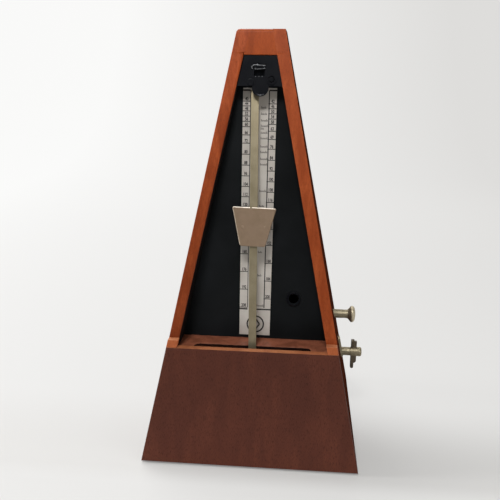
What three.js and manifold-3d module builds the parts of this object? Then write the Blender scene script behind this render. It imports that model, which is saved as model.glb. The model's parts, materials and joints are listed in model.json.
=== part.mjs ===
// Wind-up pendulum metronome in a wooden pyramid case, with a bell. Millimetres, +Z up.
// The origin is the middle of the overall box on the table, -Y is the front, and the cover is off.
import * as THREE from 'three';
import { mergeVertices } from 'three/addons/utils/BufferGeometryUtils.js';
import Module from 'manifold-3d';

const wasm = await Module();
wasm.setup();

// Case: a square pyramid stump of boards on felt pads.
const caseHeight = 222;
const baseHalfWidth = 57.3;
const baseHalfDepth = 57.3;
const topHalfWidth = 12.4;
const topHalfDepth = 12.4;
const sideThicknessAtBase = 5.3;
const sideThicknessAtTop = 6.6;
const backThickness = 6;
const baseThickness = 4.8;
const topThickness = 6;
const bridgeThickness = 5;
const footHeight = 1.2;
const footRadius = 6;
const footInset = 13;
const coverRecess = 3.7;
const ledgeHeight = 61.4;
const coverStopHeight = 4.1;
const bridgeHeight = 12.8;
const shelfTop = 59.6;
const shelfThickness = 5;
const slotHalfLength = 31;
const slotCentre = -0.4;
const slotBackGap = 6.56;
const slotCornerRadius = 3;

// Dial: a black plate leaning back on the shelf, with the tempo scale on its front.
const dialThickness = 1;
const dialSetBack = 19.286;
const dialBridgeGap = 1.76;
const dialGap = 0.15;
const dialTopMargin = 0.2;
const dialBackShelf = 0.26;
const dialHoleX = 20.6;
const dialHoleRise = 22.6;
const dialHoleRadius = 2.65;
const dialRimRadius = 4.1;
const dialRimHeight = 0.6;
const scaleThickness = 0.5;
const scaleCentre = -0.3;
const scaleFootGap = 1.8;
const scaleHeadGap = 0.9;
const scaleBottomHalfWidth = 8.35;
const scaleTopHalfWidth = 8.9;

// Rod holder: a moulded block under the bridge, with a tongue in front of the rod's tip.
const holderSetBack = 0.4;
const holderDrop = 15.3;
const holderTopGap = 0.2;
const tongueThickness = 1.4;
const tongueHalfWidth = 4.2;
const tongueCentre = 0.3;
const tongueDrop = 5.1;
const tipStopLeft = 0.2;
const tipStopDepth = 5;
const windowWidth = 5.4;
const windowHeight = 3.9;
const windowDepth = 3;
const windowCentreX = -0.4;
const windowDrop = 8.2;
const catchWireRadius = 0.45;
const catchWireClearance = 0.03;
const holderScrewX = 5.9;
const holderScrewDrop = 12;
const holderScrewRadius = 1.6;
const holderScrewHeight = 0.8;
const holderBossRadius = 2.6;
const holderBossHeight = 0.5;

// Tempo law of the balanced pendulum: the weight's top edge gives the beats per minute.
const gravity = 9810;
const balanceLength = 158.5;
const inertiaRatio = 9027;
const restTempo = 116;
const slowestParkedTempo = 46;
const fastestTempo = 208;

// Pendulum: it parks leaning back and a little to the left, with its tip behind the tongue.
const pivotHeight = 42;
const pivotSetBack = 5.3454;
const parkLeanInward = THREE.MathUtils.degToRad(0.434);
const parkTilt = THREE.MathUtils.degToRad(1);
const rodWidth = 4.1;
const rodThickness = 0.8;
const rodStart = 3;
const rodTipGap = 1.907;
const hubRadius = 2.7;
const hubHalfWidth = 3;
const hubBlockHalfWidth = 2.5;
const hubBlockTop = 10.6;
const hubBlockThickness = 1.8;
const stemWidth = 5;
const stemThickness = 1.5;
const stemEnd = 31.5;
const bobRadius = 11;
const bobThickness = 9;
const bobCentre = 24;
const bobChannelGap = 0.06;

// Sliding weight: a trapezium plate with a channel for the rod and a spring clip behind it.
const weightTopHalfWidth = 11.6;
const weightBottomHalfWidth = 6.7;
const weightHeight = 20.4;
const weightFrontThickness = 1.4;
const weightCornerRadius = 1.3;
const weightChannelGap = 0.1;
const weightRodGap = 0.12;
const weightSkew = THREE.MathUtils.degToRad(2.2);
const clipGap = 0.05;
const clipThickness = 0.5;
const clipHalfWidth = 6;
const clipHeight = 8;

// Verge arbor: it carries the pendulum in a fork and two pallets beside the crown wheel.
const vergeRadius = 1.25;
const vergeLength = 37.16;
const forkArm = 1.8;
const forkGap = 0.2;
const forkHeight = 7;
const forkFloor = 3.16;
const forkFront = -3.24;
const forkRear = 6.76;
const crossPinRadius = 1;
const crossPinHeadRadius = 1.8;
const crossPinHeadHeight = 0.7;
const runningGap = 0.09;
const palletReach = 5;
const palletThickness = 0.8;
const palletWidth = 1.6;
const palletSlant = THREE.MathUtils.degToRad(10);

// Movement frame: two plates on the base board, joined by pillars. Set-backs run from the pendulum's pivot.
const leftPlateX = -18;
const plateWallGap = 1.2243;
const plateThickness = 2;
const plateSetBack = 12.76;
const plateUpperSetBack = 20.76;
const plateStep = 53;
const plateDepth = 49;
const plateTop = 62;
const lugSetBack = 35.76;
const lugDepth = 16;
const lugTop = 71;
const flangeWidth = 10;
const flangeThickness = 1.6;
const pillarRadius = 2;
const pillarPlaces = [[18.76, 11], [57.76, 11], [58.26, 58]];
const screwSetBacks = [25.76, 53.76];
const screwShankRadius = 1.5;
const screwHeadRadius = 3;
const screwHeadHeight = 1.6;
const screwGap = 0.1;
const bearingThickness = 1.6;
const bearingFrontSetBack = 8.76;
const bearingRearSetBack = 34.76;
const bearingHalfHeight = 5;
const bearingReach = 4;
const bearingLegLength = 10;

// Spring train: barrel, intermediate arbor and crown escape wheel, all turning about X.
const barrelSetBack = 43.76;
const barrelZ = 42.5;
const escapeSetBack = 22.26;
const gearModule = 0.6;
const greatTeeth = 60;
const wheelTeeth = 48;
const pinionTeeth = 12;
const toothShare = 0.38;
const toothSlope = 0.364;
const addendum = 0.8;
const dedendum = 1.3;
const greatWheelX = 12;
const greatWheelWidth = 2;
const pinionOverhang = 0.2;
const wheelX = 9.6;
const wheelWidth = 1.6;
const drumRadius = 15.5;
const drumWall = 1;
const capThickness = 1;
const capPlateGap = 3;
const coreRadius = 4;
const coreEndGap = 0.4;
const arborRadius = 1.5;
const shaftRadius = 2.43;
const springThickness = 0.5;
const springTurns = 5;
const springEndGap = 1.5;
const springWallGap = 0.1;
const trainPivotRadius = 0.8;
const pressGap = 0.04;
const arborEndGap = 0.3;
const escapeSleeveRadius = 2.5;
const sleeveCamGap = 1.7;
const escapeArborStart = 2.3;
const crownTipX = 1.8;
const crownDiscX = 7;
const crownDiscWidth = 1.5;
const crownRadius = 9;
const crownRim = 1.2;
const crownTeeth = 12;
const crownToothDepth = 3;
const camStartX = 14.8;
const camStepWidth = 2;
const camLobes = [0, 12, 8, 6, 4];
const camBaseRadius = 3.4;
const camTipRadius = 4.8;

// Winding: ratchet and click outside the right plate, and the key outside the case.
const ratchetTeeth = 24;
const ratchetTipRadius = 8;
const ratchetRootRadius = 7;
const ratchetWidth = 1.6;
const ratchetPlateGap = 0.4;
const clickPivotY = -12;
const clickPivotZ = 9;
const clickRingRadius = 2.6;
const clickPostRadius = 1.2;
const clickHeadHeight = 0.8;
const clickSpringGap = 0.5;
const keyStandOff = 5.9;
const keyLength = 6.5;
const keyRadius = 2.7;
const keyEndRound = 0.8;
const wingStart = 0.3;
const wingLongWidth = 1.9;
const wingShortWidth = 1.4;
const wingThickness = 2.2;
const wingTop = 7.4;
const wingBottom = 10.4;
const wingShortTop = 6.5;
const wingShortBottom = 6.9;
const wingSlotGap = 0.05;
const shaftHoleGap = 0.35;
const escutcheonThickness = 1.2;
const escutcheonRadius = 3.4;
const escutcheonTabHeight = 7.5;
const escutcheonTabRadius = 1.9;

// Bell: the pull slides the hammer along the stepped cam.
const pullHeight = 65.9;
const pullTravel = 4;
const pullRodStart = -23;
const pullStemLead = 6;
const pullStemRadius = 2.54;
const pullStandOff = 7.93;
const pullHeadRadius = 4.75;
const pullHeadLength = 4.4;
const pullHoleGap = 0.2;
const collarRadius = 3;
const collarWidth = 0.8;
const hammerHubRadius = 3.2;
const hammerHubWidth = 5.1;
const hammerHubGap = 0.15;
const hammerWireRadius = 0.7;
const hammerHeadRadius = 2.2;
const hammerBellGap = 0.8;
const hammerCamGap = 0.35;
const bellX = 6;
const bellSetBack = 39.76;
const bellRadius = 16;
const bellHeight = 11;
const bellThickness = 0.9;
const bellRimZ = 78;
const bellPostRadius = 1.4;
const bellCollarRadius = 3;
const bellSeatGap = 0.3;
const strapThickness = 1.6;
const strapSetBack = 52.76;
const strapDepth = 8;
const strapTongueSetBack = 35.76;
const strapTongueHalfWidth = 4;

const roundSegments = 24;
const smallSegments = 16;

// Planes of the case at height z.
const widthSlope = (baseHalfWidth - topHalfWidth) / caseHeight;
const depthSlope = (baseHalfDepth - topHalfDepth) / caseHeight;
const thicknessSlope = (sideThicknessAtTop - sideThicknessAtBase) / caseHeight;
const halfWidthAt = (z) => baseHalfWidth - widthSlope * z;
const innerHalfWidthAt = (z) => halfWidthAt(z) - sideThicknessAtBase - thicknessSlope * z;
const backAt = (z) => baseHalfDepth - depthSlope * z;
const backInnerAt = (z) => backAt(z) - backThickness;
const coverPlaneAt = (z) => -backAt(z);
const framePlaneAt = (z) => coverPlaneAt(z) + coverRecess;
const bridgeBackAt = (z) => framePlaneAt(z) + bridgeThickness;
const holderFrontAt = (z) => framePlaneAt(z) + holderSetBack;

// Heights under the case's top, and the dial's lean from the shelf to behind the bridge.
const openingTop = caseHeight - bridgeHeight;
const topBoardBottom = caseHeight - topThickness;
const dialTop = topBoardBottom - dialTopMargin;
const dialFoot = framePlaneAt(shelfTop) + dialSetBack;
const dialSlope = (bridgeBackAt(dialTop) + dialBridgeGap - dialFoot) / (dialTop - shelfTop);
const dialLean = Math.atan(dialSlope);
const dialFrontAt = (z) => dialFoot + (z - shelfTop) * dialSlope;
const dialHoleHeight = shelfTop + dialHoleRise;
const scaleFrontAt = (z) => dialFrontAt(z) - scaleThickness;
const scaleBottom = shelfTop + scaleFootGap;
const holderBottom = openingTop - holderDrop;
const scaleTop = holderBottom - scaleHeadGap;
const windowCentreZ = openingTop - windowDrop;
const holderScrewZ = openingTop - holderScrewDrop;

// The pendulum follows the case's front, and the movement stands behind the pivot.
const pivotDepth = framePlaneAt(pivotHeight) + pivotSetBack;
const behindPivot = (distance) => pivotDepth + distance;
const parkLean = Math.atan(depthSlope) - parkLeanInward;
const rodEnd = (holderBottom - rodTipGap - pivotHeight) / Math.cos(parkLean);
const slotBack = behindPivot(slotBackGap);
const barrelY = behindPivot(barrelSetBack);
const escapeY = behindPivot(escapeSetBack);
const bellY = behindPivot(bellSetBack);
const plateFront = behindPivot(plateSetBack);
const plateUpperFront = behindPivot(plateUpperSetBack);
const plateBack = plateFront + plateDepth;
const lugFront = behindPivot(lugSetBack);
const lugBack = lugFront + lugDepth;
const bearingFront = behindPivot(bearingFrontSetBack);
const bearingBack = behindPivot(bearingRearSetBack);
const strapFront = behindPivot(strapSetBack);
const strapBack = strapFront + strapDepth;
const strapTongueFront = behindPivot(strapTongueSetBack);

// Across, the right plate, the key and the bell pull keep to the case's right side.
const rightPlateX = innerHalfWidthAt(lugTop) - plateWallGap - plateThickness;
const keyShoulderX = halfWidthAt(barrelZ) + keyStandOff;
const keyEndX = keyShoulderX + keyLength;
const pullStemStart = rightPlateX - pullStemLead;
const pullHeadX = halfWidthAt(pullHeight) + pullStandOff;
const pullHeadEnd = pullHeadX + pullHeadLength;

// Materials.
const finish = (color, roughness, metalness) => (
  new THREE.MeshStandardMaterial({ color, roughness, metalness })
);
const paleWood = finish(0x96502c, 0.35, 0);
const darkWood = finish(0x4c2e26, 0.35, 0);
const shelfWood = finish(0x6b4634, 0.45, 0);
const felt = finish(0x2e4a34, 0.95, 0);
const blackPaint = finish(0x141416, 0.45, 0.1);
const blackPlastic = finish(0x17181a, 0.4, 0);
const silver = finish(0xc0b8ae, 0.35, 0.8);
const nickel = finish(0x968c73, 0.3, 0.9);
const brass = finish(0xb08d4a, 0.3, 0.95);
const steel = finish(0x8f9092, 0.35, 0.95);
const lead = finish(0x5a5c60, 0.6, 0.7);
const taupePaint = finish(0x84725e, 0.4, 0.5);

const metronome = new THREE.Group();

// Puts one named mesh into a group.
function add(name, geometry, material, group = metronome) {
  const mesh = new THREE.Mesh(geometry, material);
  mesh.name = name;
  group.add(mesh);
  return mesh;
}

// Turns a closed geometry into a solid for cutting and joining.
function solidOf(geometry) {
  const bare = geometry.clone();
  bare.deleteAttribute('normal');
  bare.deleteAttribute('uv');
  const merged = mergeVertices(bare, 1e-4);
  const mesh = new wasm.Mesh({
    numProp: 3,
    vertProperties: new Float32Array(merged.attributes.position.array),
    triVerts: new Uint32Array(merged.index.array),
  });
  return new wasm.Manifold(mesh);
}

function geometryOf(solid) {
  const mesh = solid.getMesh();
  const geometry = new THREE.BufferGeometry();
  geometry.setAttribute('position', new THREE.BufferAttribute(new Float32Array(mesh.vertProperties), 3));
  geometry.setIndex(new THREE.BufferAttribute(new Uint32Array(mesh.triVerts), 1));
  geometry.computeVertexNormals();
  return geometry;
}

function join(first, ...others) {
  const whole = others.reduce((solid, other) => solid.add(solidOf(other)), solidOf(first));
  return geometryOf(whole);
}

function cut(first, ...tools) {
  const rest = tools.reduce((solid, tool) => solid.subtract(solidOf(tool)), solidOf(first));
  return geometryOf(rest);
}

// A box between two corners.
function block(x, y, z) {
  const box = new THREE.BoxGeometry(x[1] - x[0], y[1] - y[0], z[1] - z[0]);
  return box.translate((x[0] + x[1]) / 2, (y[0] + y[1]) / 2, (z[0] + z[1]) / 2);
}

// A board whose four upright faces lean: each edge is a function of the height.
function leaningBoard(left, right, front, back, low, high) {
  const corners = [];
  for (const z of [low, high]) {
    corners.push([left(z), front(z), z], [right(z), front(z), z]);
    corners.push([right(z), back(z), z], [left(z), back(z), z]);
  }
  const faces = [[0, 3, 2, 1], [4, 5, 6, 7], [0, 1, 5, 4], [1, 2, 6, 5], [2, 3, 7, 6], [3, 0, 4, 7]];
  const index = faces.flatMap(([a, b, c, d]) => [a, b, c, a, c, d]);
  const geometry = new THREE.BufferGeometry();
  geometry.setAttribute('position', new THREE.Float32BufferAttribute(corners.flat(), 3));
  geometry.setIndex(index);
  geometry.computeVertexNormals();
  return geometry;
}

// Turned pieces: the profile is a list of [radius, place along the axis].
function turned(profile, segments = roundSegments) {
  return new THREE.LatheGeometry(profile.map(([r, h]) => new THREE.Vector2(r, h)), segments);
}

const turnedX = (profile, y, z, segments) => (
  turned(profile, segments).rotateZ(-Math.PI / 2).translate(0, y, z)
);
const turnedZ = (profile, x, y, segments) => (
  turned(profile, segments).rotateX(Math.PI / 2).translate(x, y, 0)
);
const rodX = (radius, start, end, y, z, segments) => (
  turnedX([[0, start], [radius, start], [radius, end], [0, end]], y, z, segments)
);
const rodZ = (radius, low, high, x, y, segments) => (
  turnedZ([[0, low], [radius, low], [radius, high], [0, high]], x, y, segments)
);

// Outlines drawn in the (y, z) plane and extruded along X.
const crossX = new THREE.Matrix4().makeBasis(
  new THREE.Vector3(0, 1, 0), new THREE.Vector3(0, 0, 1), new THREE.Vector3(1, 0, 0),
);

function extrudedX(shape, start, width, y = 0, z = 0) {
  const geometry = new THREE.ExtrudeGeometry(shape, { depth: width, bevelEnabled: false, curveSegments: 8 });
  return geometry.applyMatrix4(crossX).translate(start, y, z);
}

const polygon = (points) => new THREE.Shape(points.map(([a, b]) => new THREE.Vector2(a, b)));
const polar = (radius, angle) => [radius * Math.cos(angle), radius * Math.sin(angle)];

// A round wire along a smooth line through the points.
function wire(points, radius, steps) {
  const path = new THREE.CatmullRomCurve3(points.map((point) => new THREE.Vector3(...point)));
  const section = new THREE.Shape().absarc(0, 0, radius, 0, Math.PI * 2);
  const options = { steps, extrudePath: path, curveSegments: 4, bevelEnabled: false };
  return new THREE.ExtrudeGeometry(section, options);
}

// Gear outline with straight flanks; one tooth is centred on the angle phase.
function gearShape(teeth, phase) {
  const pitchRadius = gearModule * teeth / 2;
  const tip = pitchRadius + addendum * gearModule;
  const root = pitchRadius - dedendum * gearModule;
  const half = toothShare * Math.PI * gearModule / 2;
  const tipHalf = (half - addendum * gearModule * toothSlope) / tip;
  const rootHalf = (half + dedendum * gearModule * toothSlope) / root;
  const points = [];
  for (let tooth = 0; tooth < teeth; tooth += 1) {
    const angle = phase + tooth * 2 * Math.PI / teeth;
    points.push(polar(root, angle - rootHalf), polar(tip, angle - tipHalf));
    points.push(polar(tip, angle + tipHalf), polar(root, angle + rootHalf));
  }
  return polygon(points);
}

// Distance of the weight's top edge from the pivot at a tempo in beats per minute.
function weightEdge(tempo) {
  const rate = (Math.PI * tempo / 60) ** 2;
  const root = Math.sqrt(gravity ** 2 + 4 * rate * (gravity * balanceLength - rate * inertiaRatio));
  return (root - gravity) / (2 * rate);
}

// Case boards.
const mirrored = (edge) => (z) => -edge(z);
const always = (value) => () => value;
add('case_side_left', leaningBoard(mirrored(halfWidthAt), mirrored(innerHalfWidthAt), framePlaneAt, backAt,
  footHeight, caseHeight), paleWood);
const shaftHole = rodX(shaftRadius + shaftHoleGap, 0, keyEndX, barrelY, barrelZ);
const pullHole = rodX(pullStemRadius + pullHoleGap, 0, keyEndX, barrelY, pullHeight);
add('case_side_right', cut(leaningBoard(innerHalfWidthAt, halfWidthAt, framePlaneAt, backAt,
  footHeight, caseHeight), shaftHole, pullHole), paleWood);
add('case_back', leaningBoard(mirrored(innerHalfWidthAt), innerHalfWidthAt, backInnerAt, backAt,
  footHeight, caseHeight), paleWood);
add('case_front_panel', leaningBoard(mirrored(halfWidthAt), halfWidthAt, coverPlaneAt, framePlaneAt,
  footHeight, ledgeHeight), darkWood);
add('case_bridge', leaningBoard(mirrored(innerHalfWidthAt), innerHalfWidthAt, framePlaneAt, bridgeBackAt,
  openingTop, caseHeight), paleWood);
add('case_top', leaningBoard(mirrored(innerHalfWidthAt), innerHalfWidthAt, bridgeBackAt, backInnerAt,
  topBoardBottom, caseHeight), paleWood);
const stopTop = ledgeHeight + coverStopHeight;
add('cover_stop_left', leaningBoard(mirrored(halfWidthAt), mirrored(innerHalfWidthAt), coverPlaneAt,
  framePlaneAt, ledgeHeight, stopTop), paleWood);
add('cover_stop_right', leaningBoard(innerHalfWidthAt, halfWidthAt, coverPlaneAt, framePlaneAt,
  ledgeHeight, stopTop), paleWood);

// Shelf with the pendulum's slot, open to the front panel.
const shelfBottom = shelfTop - shelfThickness;
const shelfBack = dialFoot + dialThickness + dialBackShelf;
const slotLeft = slotCentre - slotHalfLength;
const slotRight = slotCentre + slotHalfLength;
const slotShape = new THREE.Shape();
slotShape.moveTo(slotLeft, -baseHalfDepth);
slotShape.lineTo(slotRight, -baseHalfDepth);
const slotArcY = slotBack - slotCornerRadius;
slotShape.absarc(slotRight - slotCornerRadius, slotArcY, slotCornerRadius, 0, Math.PI / 2);
slotShape.absarc(slotLeft + slotCornerRadius, slotArcY, slotCornerRadius, Math.PI / 2, Math.PI);
slotShape.closePath();
const slotTool = new THREE.ExtrudeGeometry(slotShape, {
  depth: caseHeight, bevelEnabled: false, curveSegments: 6,
});
const shelfBoard = leaningBoard(mirrored(innerHalfWidthAt), innerHalfWidthAt, framePlaneAt, always(shelfBack),
  shelfBottom, shelfTop);
add('case_shelf', cut(shelfBoard, slotTool), shelfWood);

// Base board, its screws up into the movement's flanges, and the felt pads.
const baseTop = footHeight + baseThickness;
const flangeTop = baseTop + flangeThickness;
const screwPlaces = [leftPlateX - flangeWidth / 2, rightPlateX + plateThickness + flangeWidth / 2]
  .flatMap((x) => screwSetBacks.map((distance) => [x, behindPivot(distance)]));
const screwHeadTop = footHeight + screwHeadHeight;
const screwHoles = screwPlaces.map(([x, y]) => (
  rodZ(screwShankRadius + screwGap, 0, flangeTop + 1, x, y, smallSegments)
));
const counterbores = screwPlaces.map(([x, y]) => (
  rodZ(screwHeadRadius + screwGap, 0, screwHeadTop, x, y, smallSegments)
));
add('case_base', cut(leaningBoard(mirrored(innerHalfWidthAt), innerHalfWidthAt, framePlaneAt, backInnerAt,
  footHeight, baseTop), ...screwHoles, ...counterbores), shelfWood);
screwPlaces.forEach(([x, y], number) => {
  const profile = [[0, footHeight], [screwHeadRadius, footHeight], [screwHeadRadius, screwHeadTop],
    [screwShankRadius, screwHeadTop], [screwShankRadius, flangeTop], [0, flangeTop]];
  add(`base_screw_${number + 1}`, turnedZ(profile, x, y, smallSegments), steel);
});
const footX = baseHalfWidth - footInset;
const footY = baseHalfDepth - footInset;
[[-footX, -footY], [footX, -footY], [footX, footY], [-footX, footY]].forEach(([x, y], number) => {
  add(`felt_foot_${number + 1}`, rodZ(footRadius, 0, footHeight, x, y), felt);
});

// Dial plate with a rimmed hole, and the scale plate on its front.
const dialHalfWidthAt = (z) => innerHalfWidthAt(z) - dialGap;
const dialBackAt = (z) => dialFrontAt(z) + dialThickness;
const dialTurn = (geometry) => (
  geometry.rotateX(-dialLean).translate(dialHoleX, dialFrontAt(dialHoleHeight), dialHoleHeight)
);
const rimProfile = [[dialHoleRadius, -dialRimHeight], [dialRimRadius, -dialRimHeight],
  [dialRimRadius, dialThickness / 2], [dialHoleRadius, dialThickness / 2], [dialHoleRadius, -dialRimHeight]];
const dialHole = turned([[0, -5], [dialHoleRadius, -5], [dialHoleRadius, 5], [0, 5]]);
const dialBoard = leaningBoard(mirrored(dialHalfWidthAt), dialHalfWidthAt, dialFrontAt, dialBackAt,
  shelfTop, dialTop);
add('dial_plate', join(cut(dialBoard, dialTurn(dialHole)), dialTurn(turned(rimProfile))), blackPaint);
const scaleFlare = (scaleTopHalfWidth - scaleBottomHalfWidth) / (scaleTop - scaleBottom);
const scaleHalfWidthAt = (z) => scaleBottomHalfWidth + scaleFlare * (z - scaleBottom);
const scaleLeftAt = (z) => scaleCentre - scaleHalfWidthAt(z);
const scaleRightAt = (z) => scaleCentre + scaleHalfWidthAt(z);
const scaleBoard = leaningBoard(scaleLeftAt, scaleRightAt, scaleFrontAt, dialFrontAt, scaleBottom, scaleTop);
add('scale_plate', scaleBoard, silver);

// Rod holder: block, tongue, stop beside the rod's tip, window, screw boss and the cover's catch wire.
const holderTop = openingTop - holderTopGap;
const holderBlock = leaningBoard(mirrored(dialHalfWidthAt), dialHalfWidthAt, holderFrontAt, dialFrontAt,
  holderBottom, holderTop);
const tongueShape = new THREE.Shape();
const tongueArcZ = holderBottom - tongueDrop + tongueHalfWidth;
tongueShape.moveTo(tongueCentre + tongueHalfWidth, holderBottom + 1);
tongueShape.lineTo(tongueCentre - tongueHalfWidth, holderBottom + 1);
tongueShape.absarc(tongueCentre, tongueArcZ, tongueHalfWidth, Math.PI, 2 * Math.PI);
tongueShape.closePath();
const tongueColumn = new THREE.ExtrudeGeometry(tongueShape, { depth: baseHalfDepth, bevelEnabled: false });
tongueColumn.rotateX(Math.PI / 2);
const tongueSheet = leaningBoard(always(-topHalfWidth), always(topHalfWidth), holderFrontAt,
  (z) => holderFrontAt(z) + tongueThickness, holderBottom - tongueDrop - 1, holderBottom + 1);
const tongue = geometryOf(solidOf(tongueColumn).intersect(solidOf(tongueSheet)));
const tipStop = leaningBoard(always(tipStopLeft), always(tongueCentre + tongueHalfWidth * 0.8),
  (z) => holderFrontAt(z) + tongueThickness / 2, (z) => holderFrontAt(z) + tipStopDepth,
  tongueArcZ, holderBottom + 1);
const windowFront = holderFrontAt(windowCentreZ);
const windowTool = block(
  [windowCentreX - windowWidth / 2, windowCentreX + windowWidth / 2],
  [windowFront - windowDepth, windowFront + windowDepth],
  [windowCentreZ - windowHeight / 2, windowCentreZ + windowHeight / 2],
);
const frontLean = Math.atan(depthSlope);
const holderFace = (geometry) => (
  geometry.rotateX(-frontLean).translate(holderScrewX, holderFrontAt(holderScrewZ), holderScrewZ)
);
const bossRadiusInside = holderScrewRadius + screwGap;
const boss = turned([[bossRadiusInside, -holderBossHeight], [holderBossRadius, -holderBossHeight],
  [holderBossRadius, 0.4], [bossRadiusInside, 0.4], [bossRadiusInside, -holderBossHeight]], smallSegments);
const catchLine = [[-1.7, -4.9], [-4.2, 1.3], [-3.5, 3.1], [-2.2, 3.8], [0.5, 3.5], [2.7, 3.1]];
const catchPoints = catchLine.slice(1).map(([x, up]) => {
  const z = windowCentreZ + up;
  return [x, holderFrontAt(z), z];
});
const catchGroove = wire(catchPoints, catchWireRadius + catchWireClearance, 16);
const holderBody = cut(join(holderBlock, tongue, tipStop), windowTool, catchGroove);
add('rod_holder', join(holderBody, holderFace(boss)), blackPlastic);
add('catch_spring', wire(catchPoints, catchWireRadius, 16), steel);
add('holder_screw', holderFace(turned([[0, -holderScrewHeight], [holderScrewRadius * 0.8, -holderScrewHeight],
  [holderScrewRadius, -holderScrewHeight / 2], [holderScrewRadius, 0], [0, 0]], smallSegments)), steel);

// Movement frame.
const escapeZ = pivotHeight;
const greatRadius = gearModule * greatTeeth / 2;
const wheelRadius = gearModule * wheelTeeth / 2;
const pinionRadius = gearModule * pinionTeeth / 2;
const toBarrel = greatRadius + pinionRadius;
const toEscape = wheelRadius + pinionRadius;
const axisGap = Math.hypot(escapeY - barrelY, escapeZ - barrelZ);
const along = (toBarrel ** 2 - toEscape ** 2 + axisGap ** 2) / (2 * axisGap);
const across = Math.sqrt(toBarrel ** 2 - along ** 2);
const unitY = (escapeY - barrelY) / axisGap;
const unitZ = (escapeZ - barrelZ) / axisGap;
const middleY = barrelY + along * unitY - across * unitZ;
const middleZ = barrelZ + along * unitZ + across * unitY;
const plateOutline = polygon([[plateFront, baseTop], [plateBack, baseTop], [plateBack, plateTop],
  [lugBack, plateTop], [lugBack, lugTop], [lugFront, lugTop], [lugFront, plateTop],
  [plateUpperFront, plateTop], [plateUpperFront, plateStep], [plateFront, plateStep]]);
const boreX = (radius, y, z) => rodX(radius + runningGap, leftPlateX - 1, keyEndX, y, z, smallSegments);
const leftFlange = block([leftPlateX - flangeWidth, leftPlateX], [plateFront, plateBack],
  [baseTop, flangeTop]);
add('plate_left', cut(
  join(extrudedX(plateOutline, leftPlateX, plateThickness), leftFlange),
  boreX(arborRadius, barrelY, barrelZ),
  boreX(trainPivotRadius, middleY, middleZ),
  boreX(arborRadius, barrelY, pullHeight),
  ...screwHoles,
), brass);
const rightOuter = rightPlateX + plateThickness;
const rightFlange = block([rightOuter, rightOuter + flangeWidth], [plateFront, plateBack],
  [baseTop, flangeTop]);
const camEnd = camStartX + camLobes.length * camStepWidth;
const escapeSleeve = rodX(escapeSleeveRadius, camEnd + sleeveCamGap, rightOuter, escapeY, escapeZ);
add('plate_right', cut(
  join(extrudedX(plateOutline, rightPlateX, plateThickness), rightFlange, escapeSleeve),
  boreX(shaftRadius, barrelY, barrelZ),
  boreX(trainPivotRadius, middleY, middleZ),
  boreX(trainPivotRadius, escapeY, escapeZ),
  boreX(pullStemRadius, barrelY, pullHeight),
  ...screwHoles,
), brass);
const innerLeft = leftPlateX + plateThickness;
pillarPlaces.forEach(([distance, z], number) => {
  const pillar = rodX(pillarRadius, innerLeft, rightPlateX, behindPivot(distance), z, smallSegments);
  add(`pillar_${number + 1}`, pillar, brass);
});

// Bearings of the verge arbor, on the left plate.
const vergeBoreRadius = vergeRadius + runningGap;
const vergeBoreEnd = bearingBack + bearingThickness + 1;
const vergeBore = turned([[0, bearingFront - 1], [vergeBoreRadius, bearingFront - 1],
  [vergeBoreRadius, vergeBoreEnd], [0, vergeBoreEnd]]).translate(0, 0, pivotHeight);
const bearingHeights = [pivotHeight - bearingHalfHeight, pivotHeight + bearingHalfHeight];
const rearLegFront = bearingBack + bearingThickness - bearingLegLength;
const bearingPlaces = [
  ['bearing_front', bearingFront, bearingFront],
  ['bearing_rear', bearingBack, rearLegFront],
];
for (const [name, front, legFront] of bearingPlaces) {
  const tab = block([innerLeft, bearingReach], [front, front + bearingThickness], bearingHeights);
  const leg = block([innerLeft, innerLeft + bearingThickness], [legFront, legFront + bearingLegLength],
    bearingHeights);
  add(name, cut(join(tab, leg), vergeBore), brass);
}

// Barrel with its great wheel, cap and mainspring.
const angleTo = (fromY, fromZ, toY, toZ) => Math.atan2(toZ - fromZ, toY - fromY);
const greatEnd = greatWheelX + greatWheelWidth;
const drumEnd = rightPlateX - capPlateGap - capThickness;
const drumLength = drumEnd - greatEnd;
const greatWheel = extrudedX(gearShape(greatTeeth, angleTo(barrelY, barrelZ, middleY, middleZ)),
  greatWheelX, greatWheelWidth, barrelY, barrelZ);
const drumInner = drumRadius - drumWall;
const drum = turnedX([[drumInner, greatEnd - 1], [drumRadius, greatEnd - 1], [drumRadius, drumEnd],
  [drumInner, drumEnd], [drumInner, greatEnd - 1]], barrelY, barrelZ);
add('barrel', cut(join(greatWheel, drum), boreX(arborRadius, barrelY, barrelZ)), brass);
add('barrel_cap', cut(rodX(drumRadius, drumEnd, drumEnd + capThickness, barrelY, barrelZ),
  boreX(shaftRadius, barrelY, barrelZ)), brass);
const springInner = coreRadius + springWallGap;
const springOuter = drumRadius - drumWall - springWallGap - springThickness;
const spiral = (offset) => Array.from({ length: springTurns * 20 + 1 }, (_, step) => (
  polar(springInner + offset + (springOuter - springInner) * step / (springTurns * 20), step * Math.PI / 10)
));
const springShape = polygon([...spiral(springThickness), ...spiral(0).reverse()]);
add('mainspring', extrudedX(springShape, greatEnd + springEndGap, drumLength - 2 * springEndGap,
  barrelY, barrelZ), steel);

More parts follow.
